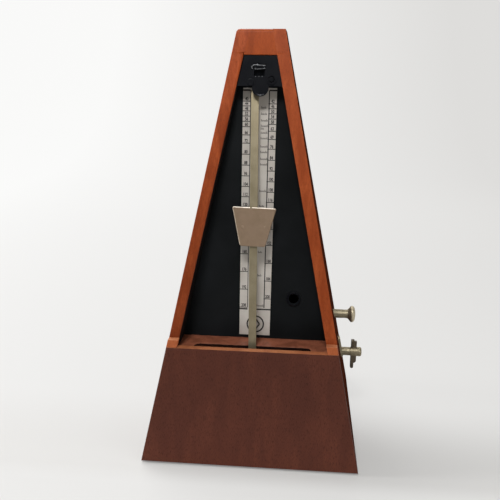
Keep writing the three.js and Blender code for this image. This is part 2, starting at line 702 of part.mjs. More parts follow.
// Intermediate arbor and wheel.
const pinionStart = greatWheelX - pinionOverhang;
const pinionWidth = greatWheelWidth + 2 * pinionOverhang;
const halfPinionTooth = Math.PI / pinionTeeth;
const middlePinion = extrudedX(
  gearShape(pinionTeeth, angleTo(middleY, middleZ, barrelY, barrelZ) + halfPinionTooth),
  pinionStart, pinionWidth, middleY, middleZ,
);
const middleArbor = rodX(trainPivotRadius, leftPlateX + arborEndGap, rightOuter - arborEndGap,
  middleY, middleZ, smallSegments);
add('intermediate_arbor', join(middleArbor, middlePinion), steel);
const seatBore = (y, z) => rodX(trainPivotRadius + pressGap, 0, rightOuter, y, z, smallSegments);
add('intermediate_wheel', cut(extrudedX(gearShape(wheelTeeth, angleTo(middleY, middleZ, escapeY, escapeZ)),
  wheelX, wheelWidth, middleY, middleZ), seatBore(middleY, middleZ)), brass);

// Escape arbor, crown wheel and bell cam.
const escapePinion = extrudedX(
  gearShape(pinionTeeth, angleTo(escapeY, escapeZ, middleY, middleZ) + halfPinionTooth),
  wheelX - pinionOverhang, wheelWidth + 2 * pinionOverhang, escapeY, escapeZ,
);
const escapeRod = rodX(trainPivotRadius, escapeArborStart, rightOuter - arborEndGap, escapeY, escapeZ,
  smallSegments);
add('escape_arbor', join(escapeRod, escapePinion), steel);
const crownBody = turnedX([[0, crownDiscX], [crownRadius - crownRim, crownDiscX],
  [crownRadius - crownRim, crownTipX], [crownRadius, crownTipX], [crownRadius, crownDiscX + crownDiscWidth],
  [0, crownDiscX + crownDiscWidth]], 0, 0, 2 * roundSegments);
const toothPitch = 2 * Math.PI * crownRadius / crownTeeth;
const crownGap = new THREE.ExtrudeGeometry(
  polygon([[0.06 * toothPitch, crownTipX - 1], [1.1 * toothPitch, crownTipX - 1],
    [0.4 * toothPitch, crownTipX + crownToothDepth], [0.06 * toothPitch, crownTipX + crownToothDepth]]),
  { depth: 2 * crownRim, bevelEnabled: false },
);
const crownGaps = Array.from({ length: crownTeeth }, (_, tooth) => {
  const gap = crownGap.clone().applyMatrix4(new THREE.Matrix4().makeBasis(
    new THREE.Vector3(0, 1, 0), new THREE.Vector3(1, 0, 0), new THREE.Vector3(0, 0, -1),
  ));
  return gap.translate(0, 0, crownRadius + crownRim / 2).rotateX(tooth * 2 * Math.PI / crownTeeth);
});
const crown = cut(crownBody, ...crownGaps).translate(0, escapeY, escapeZ);
add('crown_wheel', cut(crown, seatBore(escapeY, escapeZ)), brass);

function camStep(lobes, start) {
  if (lobes === 0) {
    return rodX(camBaseRadius, start, start + camStepWidth, escapeY, escapeZ);
  }
  const points = [];
  const pitch = 2 * Math.PI / lobes;
  for (let lobe = 0; lobe < lobes; lobe += 1) {
    const angle = lobe * pitch;
    points.push(polar(camBaseRadius, angle), polar(camBaseRadius, angle + 0.5 * pitch));
    points.push(polar(camTipRadius, angle + 0.8 * pitch), polar(camTipRadius, angle + 0.9 * pitch));
  }
  return extrudedX(polygon(points), start, camStepWidth, escapeY, escapeZ);
}

const camSteps = camLobes.map((lobes, step) => camStep(lobes, camStartX + step * camStepWidth));
add('bell_cam', cut(join(...camSteps), seatBore(escapeY, escapeZ)), brass);

// Winding arbor, ratchet, click and key.
const coreStart = greatEnd + coreEndGap;
const coreEnd = drumEnd - coreEndGap;
add('winding_arbor', turnedX([[0, leftPlateX + arborEndGap], [arborRadius, leftPlateX + arborEndGap],
  [arborRadius, coreStart], [coreRadius, coreStart], [coreRadius, coreEnd], [shaftRadius, coreEnd],
  [shaftRadius, keyShoulderX], [0, keyShoulderX]], barrelY, barrelZ), nickel);
const ratchetPitch = 2 * Math.PI / ratchetTeeth;
const ratchetPhase = THREE.MathUtils.degToRad(88);
const ratchetPoints = Array.from({ length: ratchetTeeth }, (_, tooth) => ratchetPhase + tooth * ratchetPitch)
  .flatMap((angle) => [polar(ratchetTipRadius, angle), polar(ratchetRootRadius, angle)]);
const ratchetX = rightOuter + ratchetPlateGap;
const shaftSeat = rodX(shaftRadius + pressGap, rightPlateX, keyEndX, barrelY, barrelZ);
add('ratchet_wheel', cut(extrudedX(polygon(ratchetPoints), ratchetX, ratchetWidth, barrelY, barrelZ),
  shaftSeat), steel);
const pawlAngle = ratchetPhase + THREE.MathUtils.degToRad(1.4);
const pawlOutline = polygon([
  polar(ratchetRootRadius + 0.15, pawlAngle),
  polar(ratchetTipRadius + 1.2, pawlAngle),
  [clickPivotY + 1, clickPivotZ + clickRingRadius * 0.9],
  [clickPivotY + 1, clickPivotZ - clickRingRadius * 0.9],
  polar(ratchetTipRadius + 0.35, pawlAngle + 0.19),
]);
const clickY = barrelY + clickPivotY;
const clickZ = barrelZ + clickPivotZ;
const clickEnd = ratchetX + ratchetWidth;
const clickRing = rodX(clickRingRadius, ratchetX, clickEnd, clickY, clickZ);
const clickBore = rodX(clickPostRadius + runningGap, ratchetX - 1, clickEnd + 1, clickY, clickZ,
  smallSegments);
const pawl = extrudedX(pawlOutline, ratchetX, ratchetWidth, barrelY, barrelZ);
add('click', cut(join(pawl, clickRing), clickBore), steel);
const clickHead = clickEnd + runningGap;
add('click_post', turnedX([[0, rightOuter], [clickPostRadius, rightOuter], [clickPostRadius, clickHead],
  [clickRingRadius, clickHead], [clickRingRadius, clickEnd + clickHeadHeight],
  [0, clickEnd + clickHeadHeight]], clickY, clickZ, smallSegments), steel);
const springLegZ = clickZ + clickRingRadius + clickSpringGap;
const springBlockY = [barrelY - 6, barrelY - 2];
add('click_spring', extrudedX(polygon([[springBlockY[1], plateTop - 1], [springBlockY[0], plateTop - 1],
  [springBlockY[0], plateTop - 3.4], [clickY + 3, springLegZ + 0.6], [clickY + 1.6, springLegZ + 0.5],
  [clickY + 1.6, springLegZ], [clickY + 3, springLegZ], [springBlockY[1], plateTop - 4]]),
rightOuter, ratchetWidth + ratchetPlateGap), steel);

const keyShaft = turnedX([[0, keyShoulderX], [keyRadius, keyShoulderX], [keyRadius, keyEndX - keyEndRound],
  [keyRadius - keyEndRound, keyEndX], [0, keyEndX]], barrelY, barrelZ);
const wingX = keyShoulderX + wingStart;
const wingMiddle = wingX + wingLongWidth;
const wingEnd = wingMiddle + wingShortWidth;
const wingHalf = wingThickness / 2;
const wingSlot = block([wingX - wingSlotGap, wingEnd + wingSlotGap],
  [barrelY - wingHalf - wingSlotGap, barrelY + wingHalf + wingSlotGap],
  [barrelZ - keyRadius - 1, barrelZ + keyRadius + 1]);
add('key_shaft', cut(keyShaft, wingSlot), nickel);
const wingShape = new THREE.Shape();
wingShape.moveTo(wingX, wingTop);
wingShape.lineTo(wingX, wingLongWidth / 2 - wingBottom);
const wingRound = wingLongWidth / 2;
wingShape.absarc(wingX + wingRound, wingRound - wingBottom, wingRound, Math.PI, 2 * Math.PI);
wingShape.lineTo(wingMiddle, -wingShortBottom);
wingShape.absarc(wingMiddle, wingShortWidth - wingShortBottom, wingShortWidth, -Math.PI / 2, 0);
wingShape.lineTo(wingEnd, wingShortTop);
wingShape.lineTo(wingMiddle, wingShortTop);
wingShape.lineTo(wingMiddle, wingTop);
wingShape.closePath();
const wing = new THREE.ExtrudeGeometry(wingShape, {
  depth: wingThickness, bevelEnabled: false, curveSegments: 6,
});
add('key_wing', wing.rotateX(Math.PI / 2).translate(0, barrelY + wingHalf, barrelZ), nickel);

// Drop-shaped escutcheon on the right side, around the winding shaft.
const wallLean = Math.atan(widthSlope);
const wallBasis = new THREE.Matrix4().makeBasis(
  new THREE.Vector3(0, 1, 0),
  new THREE.Vector3(-Math.sin(wallLean), 0, Math.cos(wallLean)),
  new THREE.Vector3(Math.cos(wallLean), 0, Math.sin(wallLean)),
);
const tangent = Math.asin((escutcheonRadius - escutcheonTabRadius) / escutcheonTabHeight);
const escutcheonShape = new THREE.Shape();
escutcheonShape.absarc(0, 0, escutcheonRadius, Math.PI - tangent, 2 * Math.PI + tangent);
escutcheonShape.absarc(0, escutcheonTabHeight, escutcheonTabRadius, tangent, Math.PI - tangent);
escutcheonShape.closePath();
const escutcheon = new THREE.ExtrudeGeometry(escutcheonShape, {
  depth: escutcheonThickness, bevelEnabled: false, curveSegments: 10,
});
escutcheon.applyMatrix4(wallBasis).translate(halfWidthAt(barrelZ), barrelY, barrelZ);
add('key_escutcheon', cut(escutcheon, rodX(shaftRadius + runningGap, 0, keyEndX, barrelY, barrelZ)), nickel);

// Bell pull, hammer, bell and its post on a strap across the plates.
const camMiddle = (camStartX + camEnd) / 2;
const hubStart = camMiddle - hammerHubWidth / 2;
const hubEnd = camMiddle + hammerHubWidth / 2;
const leftCollarEnd = hubStart - hammerHubGap;
const rightCollarStart = hubEnd + hammerHubGap;
const stemBulge = 0.12;
add('bell_pull', turnedX([[0, pullRodStart], [arborRadius, pullRodStart],
  [arborRadius, leftCollarEnd - collarWidth], [collarRadius, leftCollarEnd - collarWidth],
  [collarRadius, leftCollarEnd], [arborRadius, leftCollarEnd], [arborRadius, rightCollarStart],
  [collarRadius, rightCollarStart], [collarRadius, rightCollarStart + collarWidth],
  [arborRadius, rightCollarStart + collarWidth], [arborRadius, pullStemStart],
  [pullStemRadius, pullStemStart],
  [pullStemRadius, pullHeadX - 5], [pullStemRadius - stemBulge, pullHeadX - 2], [pullStemRadius, pullHeadX],
  [pullHeadRadius * 0.85, pullHeadX + 1.3], [pullHeadRadius, pullHeadX + 1.9],
  [pullHeadRadius, pullHeadEnd - 1.4],
  [pullHeadRadius * 0.8, pullHeadEnd - 0.5], [pullHeadRadius * 0.4, pullHeadEnd - 0.1], [0, pullHeadEnd]],
barrelY, pullHeight), nickel);
const hammerHub = turnedX([[arborRadius + runningGap, hubStart], [hammerHubRadius, hubStart],
  [hammerHubRadius, hubEnd], [arborRadius + runningGap, hubEnd], [arborRadius + runningGap, hubStart]],
barrelY, pullHeight);
const tailTip = escapeZ + camTipRadius + hammerCamGap + hammerWireRadius;
const tailPoint = (ahead, down) => (
  [camMiddle, barrelY - ahead * (barrelY - escapeY), pullHeight - down * (pullHeight - tailTip)]
);
const hammerTail = wire([tailPoint(0.112, 0), tailPoint(0.558, 0.033), tailPoint(0.884, 0.249),
  tailPoint(1, 0.609), tailPoint(1, 0.834), tailPoint(1, 1)], hammerWireRadius, 12);
const headY = bellY + bellRadius + hammerBellGap + hammerHeadRadius;
const headZ = bellRimZ + hammerHeadRadius;
const hammerArm = wire([[camMiddle, barrelY + 1, pullHeight + hammerHubRadius - 0.6],
  [camMiddle - 1, barrelY + 6, pullHeight + 4.5], [bellX + 6, headY - 3, bellRimZ - 4.5],
  [bellX + 1.5, headY, bellRimZ - 2.5], [bellX, headY, headZ]], hammerWireRadius, 12);
const hammerHead = new THREE.SphereGeometry(hammerHeadRadius, 12, 8).translate(bellX, headY, headZ);
add('bell_hammer', join(hammerHub, hammerTail, hammerArm, hammerHead), steel);

const bellArcSteps = 6;
const bellArc = (radiusGap) => Array.from({ length: bellArcSteps + 1 }, (_, step) => {
  const angle = step * Math.PI / 2 / bellArcSteps;
  return [(bellRadius - radiusGap) * Math.cos(angle), bellRimZ + (bellHeight - radiusGap) * Math.sin(angle)];
});
const bellBore = bellPostRadius + runningGap;
const bellProfile = [...bellArc(0).slice(0, -1), [bellBore, bellRimZ + bellHeight],
  [bellBore, bellRimZ + bellHeight - bellThickness], ...bellArc(bellThickness).slice(0, -1).reverse()];
add('bell', turnedZ([...bellProfile, bellProfile[0]], bellX, bellY), brass);
const strapTop = plateTop + strapThickness;
const bellSeat = bellRimZ + bellHeight - bellThickness;
add('bell_post', turnedZ([[0, strapTop], [bellCollarRadius, strapTop], [bellCollarRadius, strapTop + 0.6],
  [bellPostRadius, strapTop + 0.6], [bellPostRadius, bellSeat - 1.2], [bellCollarRadius, bellSeat - 1.2],
  [bellCollarRadius, bellSeat - bellSeatGap], [bellPostRadius, bellSeat - bellSeatGap],
  [bellPostRadius, bellRimZ + bellHeight + runningGap],
  [bellCollarRadius, bellRimZ + bellHeight + runningGap],
  [bellCollarRadius * 0.8, bellRimZ + bellHeight + 1.3], [0, bellRimZ + bellHeight + 1.6]], bellX, bellY,
smallSegments), steel);
const strap = block([leftPlateX, rightOuter], [strapFront, strapBack], [plateTop, strapTop]);
const strapTongue = block([bellX - strapTongueHalfWidth, bellX + strapTongueHalfWidth],
  [strapTongueFront, strapFront + 1], [plateTop, strapTop]);
add('bell_strap', join(strap, strapTongue), brass);

// Verge arbor with fork and pallets, tilted with the parked pendulum.
const vergeGroup = new THREE.Group();
vergeGroup.position.set(0, pivotDepth, pivotHeight);
vergeGroup.rotation.y = -parkTilt;
metronome.add(vergeGroup);
const toPivot = (y) => y - pivotDepth;
const vergeRod = turned([[0, forkRear - 1], [vergeRadius, forkRear - 1], [vergeRadius, vergeLength],
  [0, vergeLength]]);
const forkInner = hubHalfWidth + forkGap;
const forkOuter = forkInner + forkArm;
const forkHeights = [-forkHeight / 2, forkHeight / 2];
const forkBody = block([-forkOuter, forkOuter], [forkFront, forkRear], forkHeights);
const forkMouth = block([-forkInner, forkInner], [forkFront - 1, forkFloor], [-forkHeight, forkHeight]);
const pinHole = rodX(crossPinRadius + pressGap, -2 * forkOuter, 2 * forkOuter, 0, 0, smallSegments);
const pallet = (depth, up) => {
  const flag = block([-palletThickness / 2, palletThickness / 2], [-palletWidth / 2, palletWidth / 2],
    [vergeRadius / 2, palletReach]);
  return flag.rotateY(up ? palletSlant : Math.PI + palletSlant).translate(0, toPivot(depth), 0);
};
const crownMiddle = crownRadius - crownRim / 2;
add('verge_arbor', join(cut(join(vergeRod, forkBody), forkMouth, pinHole),
  pallet(escapeY - crownMiddle, true), pallet(escapeY + crownMiddle, false)), steel, vergeGroup);
const pinHeadEnd = forkOuter + crossPinHeadHeight;
add('cross_pin', turnedX([[0, -pinHeadEnd], [crossPinHeadRadius, -pinHeadEnd],
  [crossPinHeadRadius, -forkOuter], [crossPinRadius, -forkOuter], [crossPinRadius, forkOuter],
  [crossPinHeadRadius, forkOuter],
  [crossPinHeadRadius, pinHeadEnd], [0, pinHeadEnd]], 0, 0, smallSegments), steel, vergeGroup);

// Pendulum: hub with its stem, lead bob and rod; leaned() turns a piece into the rod's parked line.
const leaned = (geometry) => geometry.rotateX(-parkLean);
const rodBack = rodThickness / 2;
const hubBlock = leaned(block([-hubBlockHalfWidth, hubBlockHalfWidth], [rodBack, rodBack + hubBlockThickness],
  [0, hubBlockTop]));
const stem = block([-stemWidth / 2, stemWidth / 2], [-stemThickness / 2, stemThickness / 2], [-stemEnd, 0]);
const hubBore = rodX(crossPinRadius + runningGap, -2 * hubHalfWidth, 2 * hubHalfWidth, 0, 0, smallSegments);
add('pendulum_hub', cut(join(rodX(hubRadius, -hubHalfWidth, hubHalfWidth, 0, 0), hubBlock, stem), hubBore),
  brass, vergeGroup);
const bobDisc = turned([[0, -bobThickness / 2], [bobRadius, -bobThickness / 2], [bobRadius, bobThickness / 2],
  [0, bobThickness / 2]], 2 * smallSegments).translate(0, 0, -bobCentre);
const channelHalfWidth = stemWidth / 2 + bobChannelGap;
const channelHalfDepth = stemThickness / 2 + bobChannelGap;
const bobChannel = block([-channelHalfWidth, channelHalfWidth], [-channelHalfDepth, channelHalfDepth],
  [-stemEnd, bobRadius - bobCentre + 1]);
add('counterweight', cut(bobDisc, bobChannel), lead, vergeGroup);
add('pendulum_rod', leaned(block([-rodWidth / 2, rodWidth / 2], [-rodBack, rodBack], [rodStart, rodEnd])),
  nickel, vergeGroup);

// Sliding weight and its clip.
const weightTop = weightEdge(restTempo);
const weightBottom = weightTop - weightHeight;
const weightCorners = [[-weightBottomHalfWidth, weightBottom], [weightBottomHalfWidth, weightBottom],
  [weightTopHalfWidth, weightTop], [-weightTopHalfWidth, weightTop]]
  .map(([x, z]) => new THREE.Vector2(x, z));
const weightShape = new THREE.Shape();
weightCorners.forEach((corner, number) => {
  const towards = (other) => weightCorners[other % 4].clone().sub(corner).setLength(weightCornerRadius);
  const before = towards(number + 3).add(corner);
  const after = towards(number + 1).add(corner);
  if (number === 0) {
    weightShape.moveTo(before.x, before.y);
  } else {
    weightShape.lineTo(before.x, before.y);
  }
  weightShape.quadraticCurveTo(corner.x, corner.y, after.x, after.y);
});
weightShape.closePath();
const weightBack = rodBack + clipGap;
const weightThickness = weightBack + rodBack + weightRodGap + weightFrontThickness;
const weightBlank = new THREE.ExtrudeGeometry(weightShape, {
  depth: weightThickness, bevelEnabled: false, curveSegments: 5,
});
const clipMiddle = (weightTop + weightBottom) / 2;
weightBlank.rotateX(Math.PI / 2).translate(0, weightBack, -clipMiddle);
weightBlank.rotateY(weightSkew).translate(0, 0, clipMiddle);
const rodChannel = block([-rodWidth / 2 - weightChannelGap, rodWidth / 2 + weightChannelGap],
  [-rodBack - weightRodGap, weightBack + 1], [weightBottom - 1, weightTop + 1]);
add('sliding_weight', leaned(cut(weightBlank, rodChannel)), taupePaint, vergeGroup);
add('weight_clip', leaned(block([-clipHalfWidth, clipHalfWidth], [weightBack, weightBack + clipThickness],
  [clipMiddle - clipHeight / 2, clipMiddle + clipHeight / 2])), steel, vergeGroup);

// Ends of the weight's slide and of the bell pull's, and the overall box's middle at the origin.
const slideTo = (tempo) => weightEdge(tempo) - weightTop;
metronome.userData.weightSlide = [slideTo(fastestTempo), slideTo(slowestParkedTempo)];
metronome.userData.bellPull = [-pullTravel, pullTravel];
metronome.position.x = -(keyEndX - halfWidthAt(footHeight)) / 2;

export default metronome;
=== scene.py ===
"""Dresses a wind-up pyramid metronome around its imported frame. Metres, +Z up, -Y the front."""

import json
import logging
import math
from contextlib import contextmanager
from dataclasses import dataclass
from enum import Enum
from functools import cache
from typing import Callable, Iterator, Mapping, Optional, Sequence, Union

import bmesh
import bpy
from mathutils import Matrix, Vector


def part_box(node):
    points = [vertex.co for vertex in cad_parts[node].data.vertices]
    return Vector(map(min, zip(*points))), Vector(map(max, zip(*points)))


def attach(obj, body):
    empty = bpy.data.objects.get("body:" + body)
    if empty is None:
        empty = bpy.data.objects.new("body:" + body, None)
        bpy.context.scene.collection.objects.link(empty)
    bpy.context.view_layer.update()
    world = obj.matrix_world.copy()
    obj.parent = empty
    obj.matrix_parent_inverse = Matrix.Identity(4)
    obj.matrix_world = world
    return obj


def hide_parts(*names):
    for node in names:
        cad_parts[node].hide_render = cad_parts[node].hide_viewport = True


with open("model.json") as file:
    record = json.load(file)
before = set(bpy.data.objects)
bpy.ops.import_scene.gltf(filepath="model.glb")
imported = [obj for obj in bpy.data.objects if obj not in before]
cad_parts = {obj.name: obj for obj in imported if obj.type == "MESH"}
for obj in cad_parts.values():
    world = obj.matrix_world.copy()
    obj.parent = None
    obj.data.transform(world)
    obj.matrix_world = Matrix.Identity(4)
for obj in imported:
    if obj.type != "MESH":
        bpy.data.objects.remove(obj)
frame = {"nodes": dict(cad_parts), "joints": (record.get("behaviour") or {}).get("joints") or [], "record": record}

log = logging.getLogger("metronome")

MM = 0.001
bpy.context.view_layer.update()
# CAD corners nearer than WELD are one corner, and faces that turn by fewer degrees than FLAT are one face.
WELD = 0.002 * MM
FLAT = 0.6
# Corners that differ in height by less than this lie on one level edge.
LEVEL = 0.01 * MM
# A turned piece keeps this radius where its profile runs out, so that its end stays a face.
LEAST_RADIUS = 0.02 * MM

Vertex = tuple[float, float, float]
Colour = tuple[float, float, float, float]
Socket = Union[str, int]


class Side(Enum):
    """The six sides of a board, each with its outward direction."""

    LEFT = (-1, 0, 0)
    RIGHT = (1, 0, 0)
    FRONT = (0, -1, 0)
    BACK = (0, 1, 0)
    BOTTOM = (0, 0, -1)
    TOP = (0, 0, 1)

    @classmethod
    def of(cls, normal: Vector) -> "Side":
        """Returns the side that a normal points to most."""
        return max(cls, key=lambda side: Vector(side.value).dot(normal))


class Axis(Enum):
    """The axis of a turned piece, with its place among the coordinates."""

    X = 0
    Z = 2


# Colours and shader nodes


def linear(colour: str) -> Colour:
    """Turns an sRGB colour into the linear values that a shader takes.

    Args:
        colour: Six hex digits, with or without a leading hash.

    Returns:
        Linear red, green and blue, and an alpha of 1.
    """
    digits = colour.lstrip("#")
    values = [int(digits[i : i + 2], 16) / 255 for i in (0, 2, 4)]
    red, green, blue = (v / 12.92 if v <= 0.04045 else ((v + 0.055) / 1.055) ** 2.4 for v in values)
    return red, green, blue, 1.0


def add_node(
    tree: bpy.types.NodeTree, kind: str, inputs: Optional[Mapping[Socket, object]] = None, **settings: object
) -> bpy.types.Node:
    """Adds a shader node, with its settings, values and links.

    Args:
        tree: The material's node tree.
        kind: The node's type, such as "ShaderNodeTexNoise".
        inputs: For each input, a value or the output socket that feeds it.
        **settings: Attributes of the node itself.

    Returns:
        The new node.
    """
    node = tree.nodes.new(kind)
    for name, value in settings.items():
        setattr(node, name, value)
    for socket, value in (inputs or {}).items():
        if isinstance(value, bpy.types.NodeSocket):
            tree.links.new(value, node.inputs[socket])
        else:
            node.inputs[socket].default_value = value
    return node


# A colour Mix node's sockets: the factor, its two colours and its result.
MIX_FACTOR, MIX_A, MIX_B, MIX_RESULT = 0, 6, 7, 2


@dataclass(frozen=True)
class Finish:
    """What every finish has: a name and the way to its material."""

    name: str

    def dress(self, tree: bpy.types.NodeTree, shader: bpy.types.Node) -> None:
        """Builds the finish's nodes.

        Args:
            tree: The material's node tree.
            shader: Its Principled BSDF.
        """
        raise NotImplementedError


@cache
def material_of(finish: Finish) -> bpy.types.Material:
    """Makes a finish's material, once.

    Args:
        finish: The finish to build.

    Returns:
        The material, the same one each time.
    """
    material = bpy.data.materials.new(finish.name)
    material.use_nodes = True
    finish.dress(material.node_tree, material.node_tree.nodes["Principled BSDF"])
    return material


def grain(
    tree: bpy.types.NodeTree,
    size: float,
    noise: Mapping[str, float],
    stretch: Vertex = (1, 1, 1),
    turn: Vertex = (0, 0, 0),
) -> bpy.types.NodeSocket:
    """Gives noise in object coordinates that are turned and drawn out along a grain.

    Args:
        tree: The material's node tree.
        size: The size of the noise's spots, in millimetres.
        noise: The noise's other inputs.
        stretch: How much finer the pattern is along each axis.
        turn: The grain's turn about X, Y and Z, in degrees.

    Returns:
        The socket that gives the noise's strength.
    """
    coordinates = add_node(tree, "ShaderNodeTexCoord")
    drawn = add_node(
        tree,
        "ShaderNodeMapping",
        {
            "Vector": coordinates.outputs["Object"],
            "Rotation": [math.radians(angle) for angle in turn],
            "Scale": stretch,
        },
    )
    spots = add_node(
        tree, "ShaderNodeTexNoise", {"Vector": drawn.outputs["Vector"], "Scale": 1 / (size * MM), **noise}
    )
    return spots.outputs["Fac"]


def veil(
    tree: bpy.types.NodeTree,
    under: Union[bpy.types.NodeSocket, Colour],
    over: Colour,
    pattern: bpy.types.NodeSocket,
    span: tuple[float, float],
    share: float = 1.0,
) -> tuple[bpy.types.NodeSocket, bpy.types.NodeSocket]:
    """Lays one colour over another where a pattern is strong.

    Args:
        tree: The material's node tree.
        under: The colour below, or the socket that gives it.
        over: The colour on top.
        pattern: The pattern's strength.
        span: The strengths where the top colour starts and where it is full.
        share: How much of the top colour there is where it is full.

    Returns:
        The sockets of the colour and of the top colour's share.
    """
    mask = add_node(
        tree,
        "ShaderNodeMapRange",
        {"Value": pattern, "From Min": span[0], "From Max": span[1], "To Max": share},
    )
    both = add_node(
        tree,
        "ShaderNodeMix",
        {MIX_FACTOR: mask.outputs["Result"], MIX_A: under, MIX_B: over},
        data_type="RGBA",
    )
    return both.outputs[MIX_RESULT], mask.outputs["Result"]


def roughen(
    tree: bpy.types.NodeTree,
    shader: bpy.types.Node,
    pattern: bpy.types.NodeSocket,
    roughness: tuple[float, float],
    relief: Mapping[Socket, object],
    invert: bool = False,
) -> None:
    """Varies a surface's gloss by one pattern and dents it by another.

    Args:
        tree: The material's node tree.
        shader: Its Principled BSDF.
        pattern: The pattern of the gloss.
        roughness: The roughness where that pattern is weak and where it is strong.
        relief: The bump's height, strength and distance.
        invert: Whether the relief goes in rather than out.
    """
    low, high = roughness
    gloss = add_node(
        tree,
        "ShaderNodeMapRange",
        {"Value": pattern, "From Min": 0.3, "From Max": 0.7, "To Min": low, "To Max": high},
    )
    tree.links.new(gloss.outputs["Result"], shader.inputs["Roughness"])
    bump = add_node(tree, "ShaderNodeBump", relief, invert=invert)
    tree.links.new(bump.outputs["Normal"], shader.inputs["Normal"])


@dataclass(frozen=True)
class Wood(Finish):
    """Wood under a thin lacquer: soft growth bands, fine fibre streaks and short open pores.

    Sizes are in millimetres. A span is the noise's strength where a layer starts and where it is full.
    """

    early: str
    late: str
    pore: str
    band: float = 9.0
    band_span: tuple[float, float] = (0.36, 0.64)
    fibre: float = 0.7
    fibre_span: tuple[float, float] = (0.3, 0.7)
    fibre_share: float = 0.75
    pore_width: float = 0.28
    pore_span: tuple[float, float] = (0.56, 0.68)
    pore_share: float = 0.36
    grain_draw: float = 0.07
    fibre_draw: float = 0.03
    turn: Vertex = (0, 0, 0)
    roughness: float = 0.45
    sheen_gain: float = 0.06
    sheen_loss: float = 0.1
    specular: float = 0.14
    relief: float = 0.35
    # Painted light: the colour is multiplied toward the board's foot, darker below 1 (painted shade), lighter
    # above 1.
    foot_tone: float = 1.0
    foot: tuple[float, float] = (55 * MM, 205 * MM)

    def dress(self, tree: bpy.types.NodeTree, shader: bpy.types.Node) -> None:
        """Bands and fibres set the colour, and the pores darken it and dent the lacquer."""
        drawn, finer = (1, 1, self.grain_draw), (1, 1, self.fibre_draw)
        growth = {"Detail": 2.5, "Roughness": 0.55, "Distortion": 0.5}
        bands = grain(tree, self.band, growth, drawn, self.turn)
        fibres = grain(tree, self.fibre, {"Detail": 3.0, "Roughness": 0.6}, finer, self.turn)
        pores = grain(tree, self.pore_width, {"Detail": 1.0}, drawn, self.turn)
        late = linear(self.late)
        colour, _ = veil(tree, linear(self.early), late, bands, self.band_span)
        colour, _ = veil(tree, colour, late, fibres, self.fibre_span, self.fibre_share)
        colour, open_pores = veil(tree, colour, linear(self.pore), pores, self.pore_span, self.pore_share)
        # Painted light and shade toward the foot.
        if self.foot_tone != 1:
            colour = self.tone_foot(tree, colour)
        tree.links.new(colour, shader.inputs["Base Color"])
        roughness = (self.roughness - self.sheen_gain, self.roughness + self.sheen_loss)
        dents = {"Height": open_pores, "Strength": self.relief, "Distance": 0.05 * MM}
        roughen(tree, shader, pores, roughness, dents, invert=True)
        shader.inputs["Specular IOR Level"].default_value = self.specular

    def tone_foot(self, tree: bpy.types.NodeTree, colour: bpy.types.NodeSocket) -> bpy.types.NodeSocket:
        """Multiplies the colour toward the foot of a board by its foot factor: painted shade below 1, painted
        light above 1.

        Args:
            tree: The material's node tree.
            colour: The wood's colour before.

        Returns:
            The socket of the changed colour.
        """
        coordinates = add_node(tree, "ShaderNodeTexCoord")
        place = add_node(tree, "ShaderNodeSeparateXYZ", {"Vector": coordinates.outputs["Object"]})
        low, high = self.foot
        tone = add_node(
            tree,
            "ShaderNodeMapRange",
            {"Value": place.outputs["Z"], "From Min": low, "From Max": high, "To Min": self.foot_tone},
        )
        parts = {part: tone.outputs["Result"] for part in ("Red", "Green", "Blue")}
        grey = add_node(tree, "ShaderNodeCombineColor", parts)
        toned = add_node(
            tree,
            "ShaderNodeMix",
            {MIX_FACTOR: 1.0, MIX_A: colour, MIX_B: grey.outputs["Color"]},
            data_type="RGBA",
            blend_type="MULTIPLY",
        )
        return toned.outputs[MIX_RESULT]


@dataclass(frozen=True)
class Coating(Finish):
    """Paint, plastic or stain: one colour with slight clouding, and a skin with a fine unevenness."""

    colour: str
    cloud: str
    cloud_size: float = 14.0
    cloud_span: tuple[float, float] = (0.35, 0.65)
    skin: float = 0.6
    relief: float = 0.12
    roughness: float = 0.45
    spread: float = 0.08
    metallic: float = 0.0
    specular: float = 0.5

    def dress(self, tree: bpy.types.NodeTree, shader: bpy.types.Node) -> None:
        """Slow clouding sets the colour and gloss, and a fine skin sets the bump."""
        clouds = grain(tree, self.cloud_size, {"Detail": 4.0})
        colour, _ = veil(tree, linear(self.colour), linear(self.cloud), clouds, self.cloud_span)
        tree.links.new(colour, shader.inputs["Base Color"])
        skin = grain(tree, self.skin, {"Detail": 2.0})
        roughness = (self.roughness - self.spread, self.roughness + self.spread)
        roughen(
            tree, shader, clouds, roughness, {"Height": skin, "Strength": self.relief, "Distance": 0.05 * MM}
        )
        shader.inputs["Metallic"].default_value = self.metallic
        shader.inputs["Specular IOR Level"].default_value = self.specular


@dataclass(frozen=True)
class Metal(Finish):
    """Bare or plated metal: a brushed or polished skin with tarnish in soft patches."""

    colour: str
    tarnish: str
    brushing: Vertex = (1, 1, 1)
    line: float = 0.25
    roughness: float = 0.3
    spread: float = 0.1
    relief: float = 0.1
    patch: float = 4.0
    patch_span: tuple[float, float] = (0.38, 0.68)
    tarnish_share: float = 0.6

    def dress(self, tree: bpy.types.NodeTree, shader: bpy.types.Node) -> None:
        """Brush lines vary the gloss and bump, and patches mix in the tarnish."""
        patches = grain(tree, self.patch, {"Detail": 5.0})
        tarnish = linear(self.tarnish)
        colour, _ = veil(tree, linear(self.colour), tarnish, patches, self.patch_span, self.tarnish_share)
        tree.links.new(colour, shader.inputs["Base Color"])
        lines = grain(tree, self.line, {"Detail": 2.0}, self.brushing)
        roughness = (self.roughness - self.spread, self.roughness + self.spread)
        roughen(
            tree, shader, lines, roughness, {"Height": lines, "Strength": self.relief, "Distance": 0.02 * MM}
        )
        shader.inputs["Metallic"].default_value = 1.0


